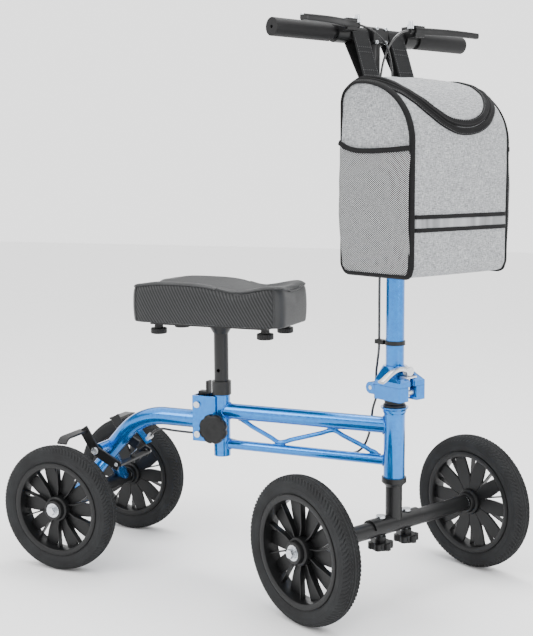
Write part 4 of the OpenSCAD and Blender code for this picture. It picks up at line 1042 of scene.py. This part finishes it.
def pad_top(x, y):
    u = (x - PAD_X0) / (PAD_X1 - PAD_X0)
    deep = 9 + 19 * math.sin(math.pi * min(1, max(0, u))) ** 0.7
    across = min(1, abs(y) / PAD_HALF)
    return pad_lip(x) - deep * (1 - across ** 1.9)


plan = rounded_plan(PAD_X0, PAD_X1, PAD_HALF, PAD_CORNER, 4.6)
around = len(plan)
rings = []
for share in (0.0, 0.35, 0.7, 0.93, 1.0):
    rings.append([(x * share + (1 - share) * min(max(x, PAD_X0 + 75), PAD_X1 - 75), y * share, PAD_Z0)
                  for x, y in plan])
for j in range(1, 17):
    t = j / 16
    swell = 2.6 * math.sin(math.pi * t) ** 0.8 - (2.2 if j == 16 else 0.9 if j == 15 else 0)
    row = []
    for x, y in plan:
        n = Vector((x - min(max(x, PAD_X0 + PAD_CORNER), PAD_X1 - PAD_CORNER),
                    y - min(max(y, -PAD_HALF + PAD_CORNER), PAD_HALF - PAD_CORNER))).normalized()
        row.append((x + n.x * swell, y + n.y * swell, PAD_Z0 + (pad_top(x, y) - 7 - PAD_Z0) * t))
    rings.append(row)
for share in (0.995, 0.985, 0.965, 0.93, 0.87, 0.8, 0.72, 0.63, 0.54, 0.45, 0.36, 0.27, 0.18, 0.09, 0.0):
    row = []
    for x, y in plan:
        hx = min(max(x, PAD_X0 + 70), PAD_X1 - 70)
        px, py = hx + (x - hx) * share, y * share
        edge = 7 * (1 - min(1, (1 - share) / 0.1) ** 0.5) if share > 0.9 else 0
        row.append((px, py, pad_top(px, py) + 1.5 * min(1, (1 - share) / 0.2) - edge))
    rings.append(row)
pad_points = [p for ring in rings for p in ring]
pad = to_object("knee_rest_cover", pad_points, ring_faces(len(rings), around), smooth_vinyl, sharp=80)
print("knee rest", len(pad.data.vertices), "points")


# %% Let the cover swell
def swell(obj, pressure, frames, cap_mm, pinned):
    """Cloth under pressure; points may move by at most the cap, and pinned ones stay."""
    rest = np.array([v.co for v in obj.data.vertices])
    group = obj.vertex_groups.new(name="pinned")
    group.add([v.index for v in obj.data.vertices if pinned(v.co / MM)], 1.0, "REPLACE")
    modifier = obj.modifiers.new("swell", "CLOTH")
    setting = modifier.settings
    setting.quality = 6
    setting.mass = 0.3
    setting.tension_stiffness = 12
    setting.compression_stiffness = 12
    setting.bending_stiffness = 1.5
    setting.use_pressure = True
    setting.uniform_pressure_force = pressure
    setting.effector_weights.gravity = 0
    setting.vertex_group_mass = "pinned"
    modifier.point_cache.frame_start, modifier.point_cache.frame_end = 1, frames
    for frame_number in range(1, frames + 1):
        bpy.context.scene.frame_set(frame_number)
    ready = obj.evaluated_get(bpy.context.evaluated_depsgraph_get())
    moved = np.array([v.co for v in ready.data.vertices]) - rest
    size = np.linalg.norm(moved, axis=1, keepdims=True)
    moved *= np.minimum(1, cap_mm * MM / np.maximum(size, 1e-9))
    obj.modifiers.clear()
    obj.vertex_groups.clear()
    bpy.context.scene.frame_set(1)
    for v, co in zip(obj.data.vertices, rest + moved):
        v.co = co
    print(obj.name, "swelled by up to", round(float(size.max() / MM), 1), "mm")


swell(pad, 1.4, 20, 4.0, lambda p: p.z < PAD_Z0 + 3)
pad.data.materials.append(ribbed_vinyl)
for face in pad.data.polygons:
    c, n = face.center / MM, face.normal
    along_side = PAD_X0 + PAD_CORNER * 0.55 < c.x < PAD_X1 - PAD_CORNER * 0.55
    if c.z < pad_top(c.x, c.y) - 7.5 and abs(n.z) < 0.6 and along_side:
        face.material_index = 1
smooth = pad.modifiers.new("smooth", "SUBSURF")
smooth.levels = smooth.render_levels = 1
settled(pad)
pad.data.shade_smooth()
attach(pad, "seat")
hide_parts("knee_pad")

# %% [markdown]
# The cover's panels are joined by a thin welt. Laying the line on the swollen surface
# with a nearest-point search keeps the welt half sunk in it, whatever the cloth did.

# %% Welts of the knee rest
def lay_on(obj, line, lift):
    """Points of a line moved to the nearest surface point and lifted off it, with normals."""
    mesh = obj.data
    tree = BVHTree.FromPolygons([v.co / MM for v in mesh.vertices],
                                [tuple(p.vertices) for p in mesh.polygons])
    laid, normals = [], []
    for p in line:
        spot, normal, _, _ = tree.find_nearest(Vector(p))
        laid.append(spot + normal * lift)
        normals.append(normal)
    return laid, normals


edge_line = [Vector((x, y, pad_top(x, y) - 7.5)) for x, y in plan]
laid, normals = lay_on(pad, edge_line, 0.6)
welt_parts = [swept(laid, round_section(1.9, 10), normals, closed=True)]
for sx in (PAD_X0 + PAD_CORNER * 0.5, PAD_X1 - PAD_CORNER * 0.5):
    for sy in (-1, 1):
        tall = pad_top(sx, sy * PAD_HALF) - 10 - PAD_Z0
        upright = [(sx, sy * PAD_HALF, PAD_Z0 + 2 + tall * t / 14) for t in range(15)]
        laid, normals = lay_on(pad, upright, 0.3)
        welt_parts.append(swept(laid, round_section(1.3, 8), normals))
merged("knee_rest_welts", welt_parts, smooth_vinyl, "seat", Matrix(), sharp=60)
print("welts", len(welt_parts))

# %% [markdown]
# ## Bag
# The bag is sewn from a long strip that runs round its side outline, two side panels
# and a lid cut out of the strip by a U-shaped zip. Each is drawn as the panel it is:
# a grid with its edges on the seams, so neighbours meet point for point. Everything is
# in straight steered sizes and is turned into place at the end.

# %% Side outline of the bag
bag_low, bag_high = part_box("bag_shell")
BAG_Z, BAG_TOP = bag_low.z / MM, max(bag_high.z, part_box("bag_lid")[1].z) / MM
BAG_BACK, BAG_FRONT, BAG_MID, BAG_HALF = -8.0, 163.0, -8.0, 119.5
FLOOR_R, BACK_R, ARCH = 20, 40, 108
SHOULDER = BAG_TOP - ARCH


def arc_points(cx, cz, a, b, start, stop, n):
    angles = [math.radians(start + (stop - start) * i / n) for i in range(n + 1)]
    return [(cx + a * math.cos(t), cz + b * math.sin(t)) for t in angles]


outline = (arc_points(BAG_FRONT - FLOOR_R, BAG_Z + FLOOR_R, FLOOR_R, FLOOR_R, -90, 0, 12)
           + arc_points(BAG_BACK + 43, SHOULDER, BAG_FRONT - BAG_BACK - 43, ARCH, 0, 90, 60)
           + arc_points(BAG_BACK + BACK_R, BAG_TOP - BACK_R, BACK_R, BACK_R, 90, 180, 20)
           + arc_points(BAG_BACK + FLOOR_R, BAG_Z + FLOOR_R, FLOOR_R, FLOOR_R, 180, 270, 12))
loop = np.array(outline + [outline[0]])
loop_length = np.concatenate([[0], np.cumsum(np.hypot(*np.diff(loop, axis=0).T))])
keep = np.concatenate([[True], np.diff(loop_length) > 1e-6])
loop, loop_length = loop[keep], loop_length[keep]
TOTAL = loop_length[-1]


def outline_at(s):
    s = s % TOTAL
    return np.array([np.interp(s, loop_length, loop[:, i]) for i in (0, 1)])


def outline_normal(s):
    ahead = outline_at(s + 3) - outline_at(s - 3)
    return np.array([ahead[1], -ahead[0]]) / np.hypot(*ahead)


def length_at(x, z):
    """The place on the outline nearest to a point."""
    even = np.linspace(0, TOTAL, 2400, endpoint=False)
    places = np.stack([np.interp(even, loop_length, loop[:, i]) for i in (0, 1)], 1)
    return even[np.argmin(np.hypot(places[:, 0] - x, places[:, 1] - z))]


LID_X0, LID_FRONT = 3.0, 144.0
NOSE = 132
LID_HALF = 110.5
hinge_s = length_at(LID_X0, BAG_TOP - 12)
front_s = length_at(LID_FRONT, SHOULDER + 20)
print("outline", round(TOTAL), "mm round; hinge", outline_at(hinge_s).round(1),
      "zip front", outline_at(front_s).round(1))

# %% [markdown]
# One function turns a place on the cloth (distance round the outline, distance across)
# into a point. It adds what the filling and gravity do: panels belly out between their
# seams, the back is pressed in round the column, and long shallow ripples run over it.

# %% Surface of the strip
def ripple(x, y, z):
    return (0.8 * math.sin(x * 0.071 + y * 0.043 + 1.3) * math.sin(z * 0.052 + y * 0.019)
            + 0.5 * math.sin(y * 0.11 + z * 0.083 + 0.4) + 0.3 * math.sin(x * 0.17 - z * 0.13 + y * 0.07))


def fade(value, low, high):
    t = min(1, max(0, (value - low) / (high - low)))
    return t * t * (3 - 2 * t)


GROOVE_DEEP, GROOVE_HALF, GROOVE_SLOPE, GROOVE_REACH = 36, 36, 21, 70
GROOVE_FADES_AT = (874, 905)


def strip_point(s, y, lift=0.0):
    """A point of the strip at distance s round the outline and y across, lifted off by `lift`."""
    (x, z), (nx, nz) = outline_at(s), outline_normal(s)
    across = (y - BAG_MID) / BAG_HALF
    on_top = fade(z, SHOULDER, SHOULDER + 60) * fade(x, 2, 40)
    belly = (4.0 + 3.0 * on_top) * (1 - abs(across) ** 3.2)
    belly -= 4.0 * fade(abs(across), 0.86, 1.0) ** 2
    at_back = fade(-nx, 0.55, 0.9)
    at_floor = fade(-nz, 0.5, 0.9)
    out = belly * (1 - 0.55 * at_back) * (1 - 0.8 * at_floor)
    out += ripple(x, y, z) * (1 - at_floor) * (1 - abs(across) ** 6)
    out += lift
    x, z = x + nx * out, z + nz * out
    pressed = GROOVE_DEEP * fade(GROOVE_HALF - abs(y), 0, GROOVE_SLOPE) * (1 - fade(z, *GROOVE_FADES_AT))
    return Vector((x + pressed * max(0, GROOVE_REACH - x) / (GROOVE_REACH - BAG_BACK), y, z))


def lid_half_width(s):
    """Half the width of the opening: the U of the zip, closed to a point at both ends."""
    if not front_s < s < hinge_s:
        return 0.0
    along = min(1, (s - front_s) / NOSE)
    return LID_HALF * (1 - (1 - along) ** 2.3) ** (1 / 2.1) * min(1, max(0, (hinge_s - s) / 5)) ** 0.5


near_front = [front_s + (i / 20) ** 2.2 * 40 for i in range(21)]
lid_rows = near_front + list(np.linspace(front_s + 40, hinge_s - 6, 44)[1:])
lid_rows += [hinge_s - 4, hinge_s - 2, hinge_s]
shell_rows = lid_rows + list(np.linspace(hinge_s, front_s + TOTAL, 130)[1:-1])
ACROSS = 22


def across_places(side, s):
    """Places across one half of the strip, from the side seam in to the zip or the middle."""
    inner = BAG_MID + side * lid_half_width(s if s <= hinge_s else 0)
    outer = BAG_MID + side * BAG_HALF
    return [outer + (inner - outer) * (t / ACROSS) for t in range(ACROSS + 1)]


def grid_faces(rows, columns, closed=False):
    faces = []
    for j in range(rows if closed else rows - 1):
        here, there = j * columns, (j + 1) % rows * columns
        faces += [(here + k, here + k + 1, there + k + 1, there + k) for k in range(columns - 1)]
    return faces


halves = []
for side in (-1, 1):
    points = [strip_point(s, y) for s in shell_rows for y in across_places(side, s)]
    halves.append((points, grid_faces(len(shell_rows), ACROSS + 1, closed=True)))
print("strip", len(shell_rows), "rows")

# %% [markdown]
# A side panel is flat cloth held all round its edge, so it bellies out most in the middle
# and a little lower, where the contents rest. Its rings shrink towards a middle point.

# %% Side panels
PANEL_MID = np.array([75.0, 772.0])
panel_angle = np.unwrap([math.atan2(z - PANEL_MID[1], x - PANEL_MID[0]) for x, z in loop])
panel_reach = np.hypot(loop[:, 0] - PANEL_MID[0], loop[:, 1] - PANEL_MID[1])


def panel_share(x, z):
    """0 at the middle of the panel and 1 on its seam."""
    a = math.atan2(z - PANEL_MID[1], x - PANEL_MID[0])
    while a < panel_angle[0]:
        a += 2 * math.pi
    while a > panel_angle[0] + 2 * math.pi:
        a -= 2 * math.pi
    return math.hypot(x - PANEL_MID[0], z - PANEL_MID[1]) / np.interp(a, panel_angle, panel_reach)


def panel_point(side, x, z, lift=0.0):
    k = min(1, panel_share(x, z))
    belly = 8.5 * (1 - k ** 2.4) * (1 + 0.25 * math.sin((800 - z) * 0.012))
    belly += ripple(x, side * 60, z) * (1 - k ** 4)
    return Vector((x, BAG_MID + side * (BAG_HALF + belly + lift), z))


PANEL_RINGS = 15
for side in (-1, 1):
    rings = []
    for j in range(PANEL_RINGS):
        k = 1 - j / (PANEL_RINGS - 1)
        row = []
        for s in shell_rows:
            edge = outline_at(s)
            flat = PANEL_MID + (edge - PANEL_MID) * k
            p = panel_point(side, *flat)
            seam = strip_point(s, BAG_MID + side * BAG_HALF)
            on_edge = Vector((edge[0], BAG_MID + side * BAG_HALF, edge[1]))
            row.append(seam if j == 0 else p + (seam - on_edge) * k ** 3)
        rings += row
    halves.append((rings, ring_faces(PANEL_RINGS, len(shell_rows))))


def with_wall(obj, thick_mm, inner):
    """Gives cloth its thickness inwards and lines it."""
    obj.data.materials.append(inner)
    wall = obj.modifiers.new("wall", "SOLIDIFY")
    wall.thickness = thick_mm * MM
    wall.offset = -1
    wall.material_offset = 1
    wall.use_rim = True
    return settled(obj)


def facing_out(obj, middle):
    """Turns a sheet's faces away from a point inside the piece."""
    work = bmesh.new()
    work.from_mesh(obj.data)
    bmesh.ops.recalc_face_normals(work, faces=work.faces)
    away = sum((f.normal.dot(f.calc_center_median() - middle)) * f.calc_area() for f in work.faces)
    if away < 0:
        bmesh.ops.reverse_faces(work, faces=work.faces)
    work.to_mesh(obj.data)
    work.free()
    return obj


inside = STEER @ (Vector((80, BAG_MID, 800)) * MM)
shell = facing_out(to_object("bag_body", *join_parts(halves), heather, STEER, 50), inside)
with_wall(shell, 3.0, lining)
shell.data.shade_smooth()
shell.data.set_sharp_from_angle(angle=math.radians(55))
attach(shell, "stem")
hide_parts("bag_shell")

lid_points, LID_COLUMNS = [], 2 * ACROSS
for s in lid_rows:
    w = lid_half_width(s)
    lid_points += [strip_point(s, BAG_MID + w * (2 * k / LID_COLUMNS - 1)) for k in range(LID_COLUMNS + 1)]
lid = to_object("bag_lid_panel", lid_points, grid_faces(len(lid_rows), LID_COLUMNS + 1), heather, STEER, 50)
facing_out(lid, inside)
with_wall(lid, 3.0, lining)
lid.data.shade_smooth()
lid.data.set_sharp_from_angle(angle=math.radians(55))
hinge_back = STEER @ (strip_point(hinge_s + 1, BAG_MID) * MM)
hinge_front = STEER @ (strip_point(hinge_s - 22, BAG_MID) * MM)
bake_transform(lid)
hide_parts("bag_lid")
print("bag body", len(shell.data.polygons), "faces; lid", len(lid.data.polygons))

# %% [markdown]
# ## Bag trims
# Tape, elastic and webbing are narrow strips that follow a line on the cloth. Each is a
# flat section swept along points of the surface, held upright by the surface's normal.

# %% Binding, zip tapes and bands
def tape_section(width, thick):
    """A flat strip with rounded long edges, lying on the surface."""
    half, low, step = width / 2, -0.6, thick * 0.55
    return [(-half, low), (half, low), (half, step), (half - 0.5, thick), (-half + 0.5, thick), (-half, step)]


def strip_normal(s, y):
    a = strip_point(s + 1.5, y) - strip_point(s - 1.5, y)
    b = strip_point(s, y + 1.5) - strip_point(s, y - 1.5)
    n = a.cross(b).normalized()
    nx, nz = outline_normal(s)
    return n if n.x * nx + n.z * nz > 0 else -n


BINDING_HALF = 5.194
seam_rows = np.linspace(0, TOTAL, 230, endpoint=False)
bindings = []
for side in (-1, 1):
    seam = [strip_point(s, BAG_MID + side * BAG_HALF) for s in seam_rows]
    outs = [Vector((outline_normal(s)[0], side * 0.75, outline_normal(s)[1])) for s in seam_rows]
    bindings.append(swept(seam, ellipse_section(BINDING_HALF, 2.6, 14), outs, closed=True))
merged("bag_seam_binding", bindings, binding_tape, "stem", STEER, sharp=60)


def zip_line(offset, lift):
    """Points beside the U of the zip, from the hinge forward, round the front and back."""
    rows = [s for s in reversed(lid_rows) if s < hinge_s - 6]
    route = [(s, -1) for s in rows] + [(s, 1) for s in reversed(rows[:-1])]
    flat = [np.array([s, BAG_MID + side * lid_half_width(s)]) for s, side in route]
    points, normals = [], []
    for i, here in enumerate(flat):
        ahead = flat[min(i + 1, len(flat) - 1)] - flat[max(i - 1, 0)]
        aside = np.array([-ahead[1], ahead[0]]) / max(1e-6, np.hypot(*ahead))
        s, y = here + aside * offset
        points.append(strip_point(s, y, lift))
        normals.append(strip_normal(s, y))
    return points, normals


def evened(points, normals, step):
    """The same line with its points evenly spaced."""
    line = np.array(points)
    length = np.concatenate([[0], np.cumsum(np.linalg.norm(np.diff(line, axis=0), axis=1))])
    even = np.linspace(0, length[-1], max(3, round(length[-1] / step)))
    new = [Vector([np.interp(e, length, line[:, i]) for i in range(3)]) for e in even]
    ns = np.array(normals)
    new_normals = [Vector([np.interp(e, length, ns[:, i]) for i in range(3)]).normalized() for e in even]
    return new, new_normals


def beside_line(line, normals, lift, aside):
    """The same line moved off the surface and to one side of itself."""
    moved = []
    for k, (p, n) in enumerate(zip(line, normals)):
        way = (line[min(k + 1, len(line) - 1)] - line[max(k - 1, 0)]).normalized()
        moved.append(p + n * lift + way.cross(n) * aside)
    return moved


TAPE = 12.4
zip_pieces = {}
for name, offset, body in (("zip_tape_outer", -6.3, "stem"), ("zip_tape_inner", 6.3, "bag_lid")):
    line, normals = evened(*zip_line(offset, 0.6), 3)
    zip_pieces[name] = (line, normals, body)
    ridge = beside_line(line, normals, 1.4, 3.6 if offset < 0 else -3.6)
    tape = swept(line, tape_section(TAPE, 1.7), normals)
    teeth = swept(ridge, round_section(1.7, 10), normals)
    merged(name, [tape, teeth], binding_tape, body, STEER, sharp=50)


def band_patch(s0, s1, lift, rows=5, columns=44):
    """A strip of tape across the whole front, between two distances round the outline."""
    points = []
    for j in range(rows + 1):
        s = s0 + (s1 - s0) * j / rows
        points += [strip_point(s, BAG_MID + (BAG_HALF - 3.5) * (2 * k / columns - 1), lift)
                   for k in range(columns + 1)]
    return points, grid_faces(rows + 1, columns + 1)


for name, z0, z1, finish, lift in (("reflective_band", 693, 709, reflective, 0.9),
                                   ("band_edge_high", 708.5, 715, binding_tape, 1.4),
                                   ("band_edge_low", 687, 693.5, binding_tape, 1.4)):
    s0, s1 = length_at(BAG_FRONT, z0), length_at(BAG_FRONT, z1)
    band = facing_out(to_object(name, *band_patch(s0, s1, lift), finish, STEER, 60), inside)
    with_wall(band, 1.2, finish)
    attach(band, "stem")
print("trims made")

# %% [markdown]
# Each side carries a mesh pocket: a panel of net set over the cloth, gathered under a
# black elastic that drops away from the back edge and dips a little. The net keeps its
# own flat sizes as an attribute.

# %% Mesh pockets
def band_height(x):
    u = (x - BAG_BACK) / (BAG_FRONT - BAG_BACK)
    return 823 + 15 * math.exp(-(u / 0.13) ** 1.3) - 3 * math.sin(math.pi * u)


def pocket_edges(x):
    """Lowest and highest points of the pocket at one place along the bag."""
    z = BAG_Z + 5
    for cx in (BAG_BACK + 20, BAG_FRONT - 20):
        d = (cx - x) if cx < 50 else (x - cx)
        if d > 0:
            z = max(z, BAG_Z + 20 - math.sqrt(max(0, 16 ** 2 - d * d)))
    return z, band_height(x)


CREASE_Z = 722
POCKET_ROWS, POCKET_COLUMNS = 49, 47
POCKET_X = [BAG_BACK + 4.5 + (BAG_FRONT - BAG_BACK - 9) * i / 46 for i in range(POCKET_COLUMNS)]
for side, hand in ((-1, "right"), (1, "left")):
    points, flat = [], []
    for j in range(POCKET_ROWS):
        t = j / (POCKET_ROWS - 1)
        for x in POCKET_X:
            z0, z1 = pocket_edges(x)
            z = z0 + (z1 - z0) * t
            u = (x - BAG_BACK) / (BAG_FRONT - BAG_BACK)
            full = 2.2 * math.sin(math.pi * min(1, max(0, u))) * math.sin(math.pi * min(1, t * 1.02)) ** 0.7
            crease = -0.7 * math.exp(-((z - CREASE_Z) / 2.0) ** 2)
            gather = 0.5 * math.sin(x * 0.42) * fade(t, 0.86, 1.0)
            points.append(panel_point(side, x, z, 1.6 + full + crease + gather))
            flat.append((x, z, 0.0))
    net = to_object(f"mesh_pocket_{hand}", points, grid_faces(POCKET_ROWS, POCKET_COLUMNS), pocket_net,
                    STEER, 60, merge=False)
    cloth = net.data.attributes.new("cloth", "FLOAT_VECTOR", "POINT")
    cloth.data.foreach_set("vector", [v for p in flat for v in p])
    facing_out(net, inside)
    with_wall(net, 0.9, pocket_net)
    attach(net, "stem")
    line = [panel_point(side, x, band_height(x), 3.0) for x in POCKET_X]
    elastic = swept(line, tape_section(8.5, 1.8), [Vector((0, side, 0))] * len(line))
    merged(f"pocket_elastic_{hand}", [elastic], binding_tape, "stem", STEER, sharp=50)
print("pockets made")

# %% [markdown]
# ## Straps
# Two webbing straps loop over the bar and are sewn to the back edge of the bag. A strap
# is a flat band, so a thin upright section follows the taut line round the bar. Rows of
# box stitches hold it; one stitch is a small bead that Geometry Nodes set along a line.

# %% A node tree that sets stitches along a line
def stitch_tree():
    tree = bpy.data.node_groups.new("stitches along a line", "GeometryNodeTree")
    for name, kind in (("Geometry", "NodeSocketGeometry"), ("Spacing", "NodeSocketFloat"),
                       ("Thickness", "NodeSocketFloat"), ("Length", "NodeSocketFloat"),
                       ("Thread", "NodeSocketMaterial")):
        tree.interface.new_socket(name, in_out="INPUT", socket_type=kind)
    tree.interface.new_socket("Geometry", in_out="OUTPUT", socket_type="NodeSocketGeometry")
    entry = add(tree, "NodeGroupInput")
    line = add(tree, "GeometryNodeMeshToCurve", {"Mesh": entry.outputs["Geometry"]})
    spots = add(tree, "GeometryNodeCurveToPoints",
                {"Curve": line.outputs[0], "Length": entry.outputs["Spacing"]}, mode="LENGTH")
    bead = add(tree, "GeometryNodeMeshUVSphere", {"Segments": 6, "Rings": 4, "Radius": 1.0})
    size = add(tree, "ShaderNodeCombineXYZ", {
        "X": entry.outputs["Thickness"], "Y": entry.outputs["Thickness"], "Z": entry.outputs["Length"]})
    copies = add(tree, "GeometryNodeInstanceOnPoints", {
        "Points": spots.outputs["Points"], "Instance": bead.outputs["Mesh"],
        "Rotation": spots.outputs["Rotation"], "Scale": size.outputs[0]})
    real = add(tree, "GeometryNodeRealizeInstances", {"Geometry": copies.outputs[0]})
    painted = add(tree, "GeometryNodeSetMaterial", {
        "Geometry": real.outputs[0], "Material": entry.outputs["Thread"]})
    add(tree, "NodeGroupOutput", {"Geometry": painted.outputs[0]})
    return tree


stitches = stitch_tree()
thread, _, _ = start_material(
    "bonded polyester thread", Base_Color=shade("#3A3B3D"), Roughness=0.6, Sheen_Weight=0.2)


def sew(name, lines, body, place, spacing, thick, long):
    """Rows of stitches along lines in mm."""
    points, edges = [], []
    for line in lines:
        base = len(points)
        points += [place @ (Vector(p) * MM) for p in line]
        edges += [(base + i, base + i + 1) for i in range(len(line) - 1)]
    mesh = bpy.data.meshes.new(name)
    mesh.from_pydata(points, edges, [])
    obj = bpy.data.objects.new(name, mesh)
    bpy.context.scene.collection.objects.link(obj)
    mesh.materials.append(thread)
    run_tree(obj, stitches, {
        "Spacing": spacing * MM, "Thickness": thick * MM, "Length": long * MM, "Thread": thread})
    obj.data.shade_smooth()
    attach(obj, body)
    print(name, len(obj.data.polygons), "faces")
    return obj


# %% Straps over the bar
BAR = Vector((-61, 0, 1028))
FOOT = Vector((-7.96, 0, 916.15))


def taut_loop(r_top, r_low, n=40):
    """A closed line drawn tight round two circles."""
    gap = FOOT - BAR
    far = math.hypot(gap.x, gap.z)
    base = math.atan2(gap.z, gap.x)
    spread = math.acos((r_top - r_low) / far)
    line = []
    for i in range(n + 1):
        a = base + spread + (2 * math.pi - 2 * spread) * i / n
        line.append((BAR.x + r_top * math.cos(a), BAR.z + r_top * math.sin(a)))
    for i in range(13):
        a = base - spread + 2 * spread * i / 12
        line.append((FOOT.x + r_low * math.cos(a), FOOT.z + r_low * math.sin(a)))
    even = []
    for (x0, z0), (x1, z1) in zip(line, line[1:] + line[:1]):
        n = max(1, round(math.hypot(x1 - x0, z1 - z0) / 5))
        even += [(x0 + (x1 - x0) * i / n, z0 + (z1 - z0) * i / n) for i in range(n)]
    return even


STRAP_HALF = 19
straps, strap_rows = [], []
loop_line = taut_loop(12.9, 2.6)
for y in (-45, 45):
    path = [(x, y, z) for x, z in loop_line]
    normals = []
    for i, (x, z) in enumerate(loop_line):
        ax, az = loop_line[(i + 1) % len(loop_line)]
        bx, bz = loop_line[i - 1]
        normals.append(Vector((az - bz, 0, -(ax - bx))).normalized())
    section = [(-STRAP_HALF, -1.1), (STRAP_HALF, -1.1), (STRAP_HALF + 0.4, 0), (STRAP_HALF, 1.1),
               (-STRAP_HALF, 1.1), (-STRAP_HALF - 0.4, 0)]
    straps.append(swept(path, section, normals, closed=True))
    front_run = [(x, z, n) for (x, z), n in zip(loop_line, normals) if n.x > 0.3 and 925 < z < 1020]
    downwards = sorted(front_run, key=lambda r: -r[1])
    for side_y in (-16.5, 16.5):
        strap_rows.append([(x + n.x * 1.3, y + side_y, z + n.z * 1.3) for x, z, n in downwards])
    for z_row in (1004, 996, 962, 954, 934):
        x, z, n = min(front_run, key=lambda r: abs(r[1] - z_row))
        strap_rows.append([(x + n.x * 1.3, y + side_y, z + n.z * 1.3) for side_y in (-16.5, -8, 0, 8, 16.5)])
merged("bar_straps", straps, webbing, "stem", STEER, ["bag_straps"], 50)
sew("strap_stitches", strap_rows, "stem", STEER, 4.2, 0.55, 1.6)

for name, (line, normals, body) in zip_pieces.items():
    rows = [beside_line(line, normals, 2.1, aside) for aside in (-4.4, 4.4)]
    sew(f"{name}_stitches", rows, body, STEER, 4.4, 0.35, 1.5)
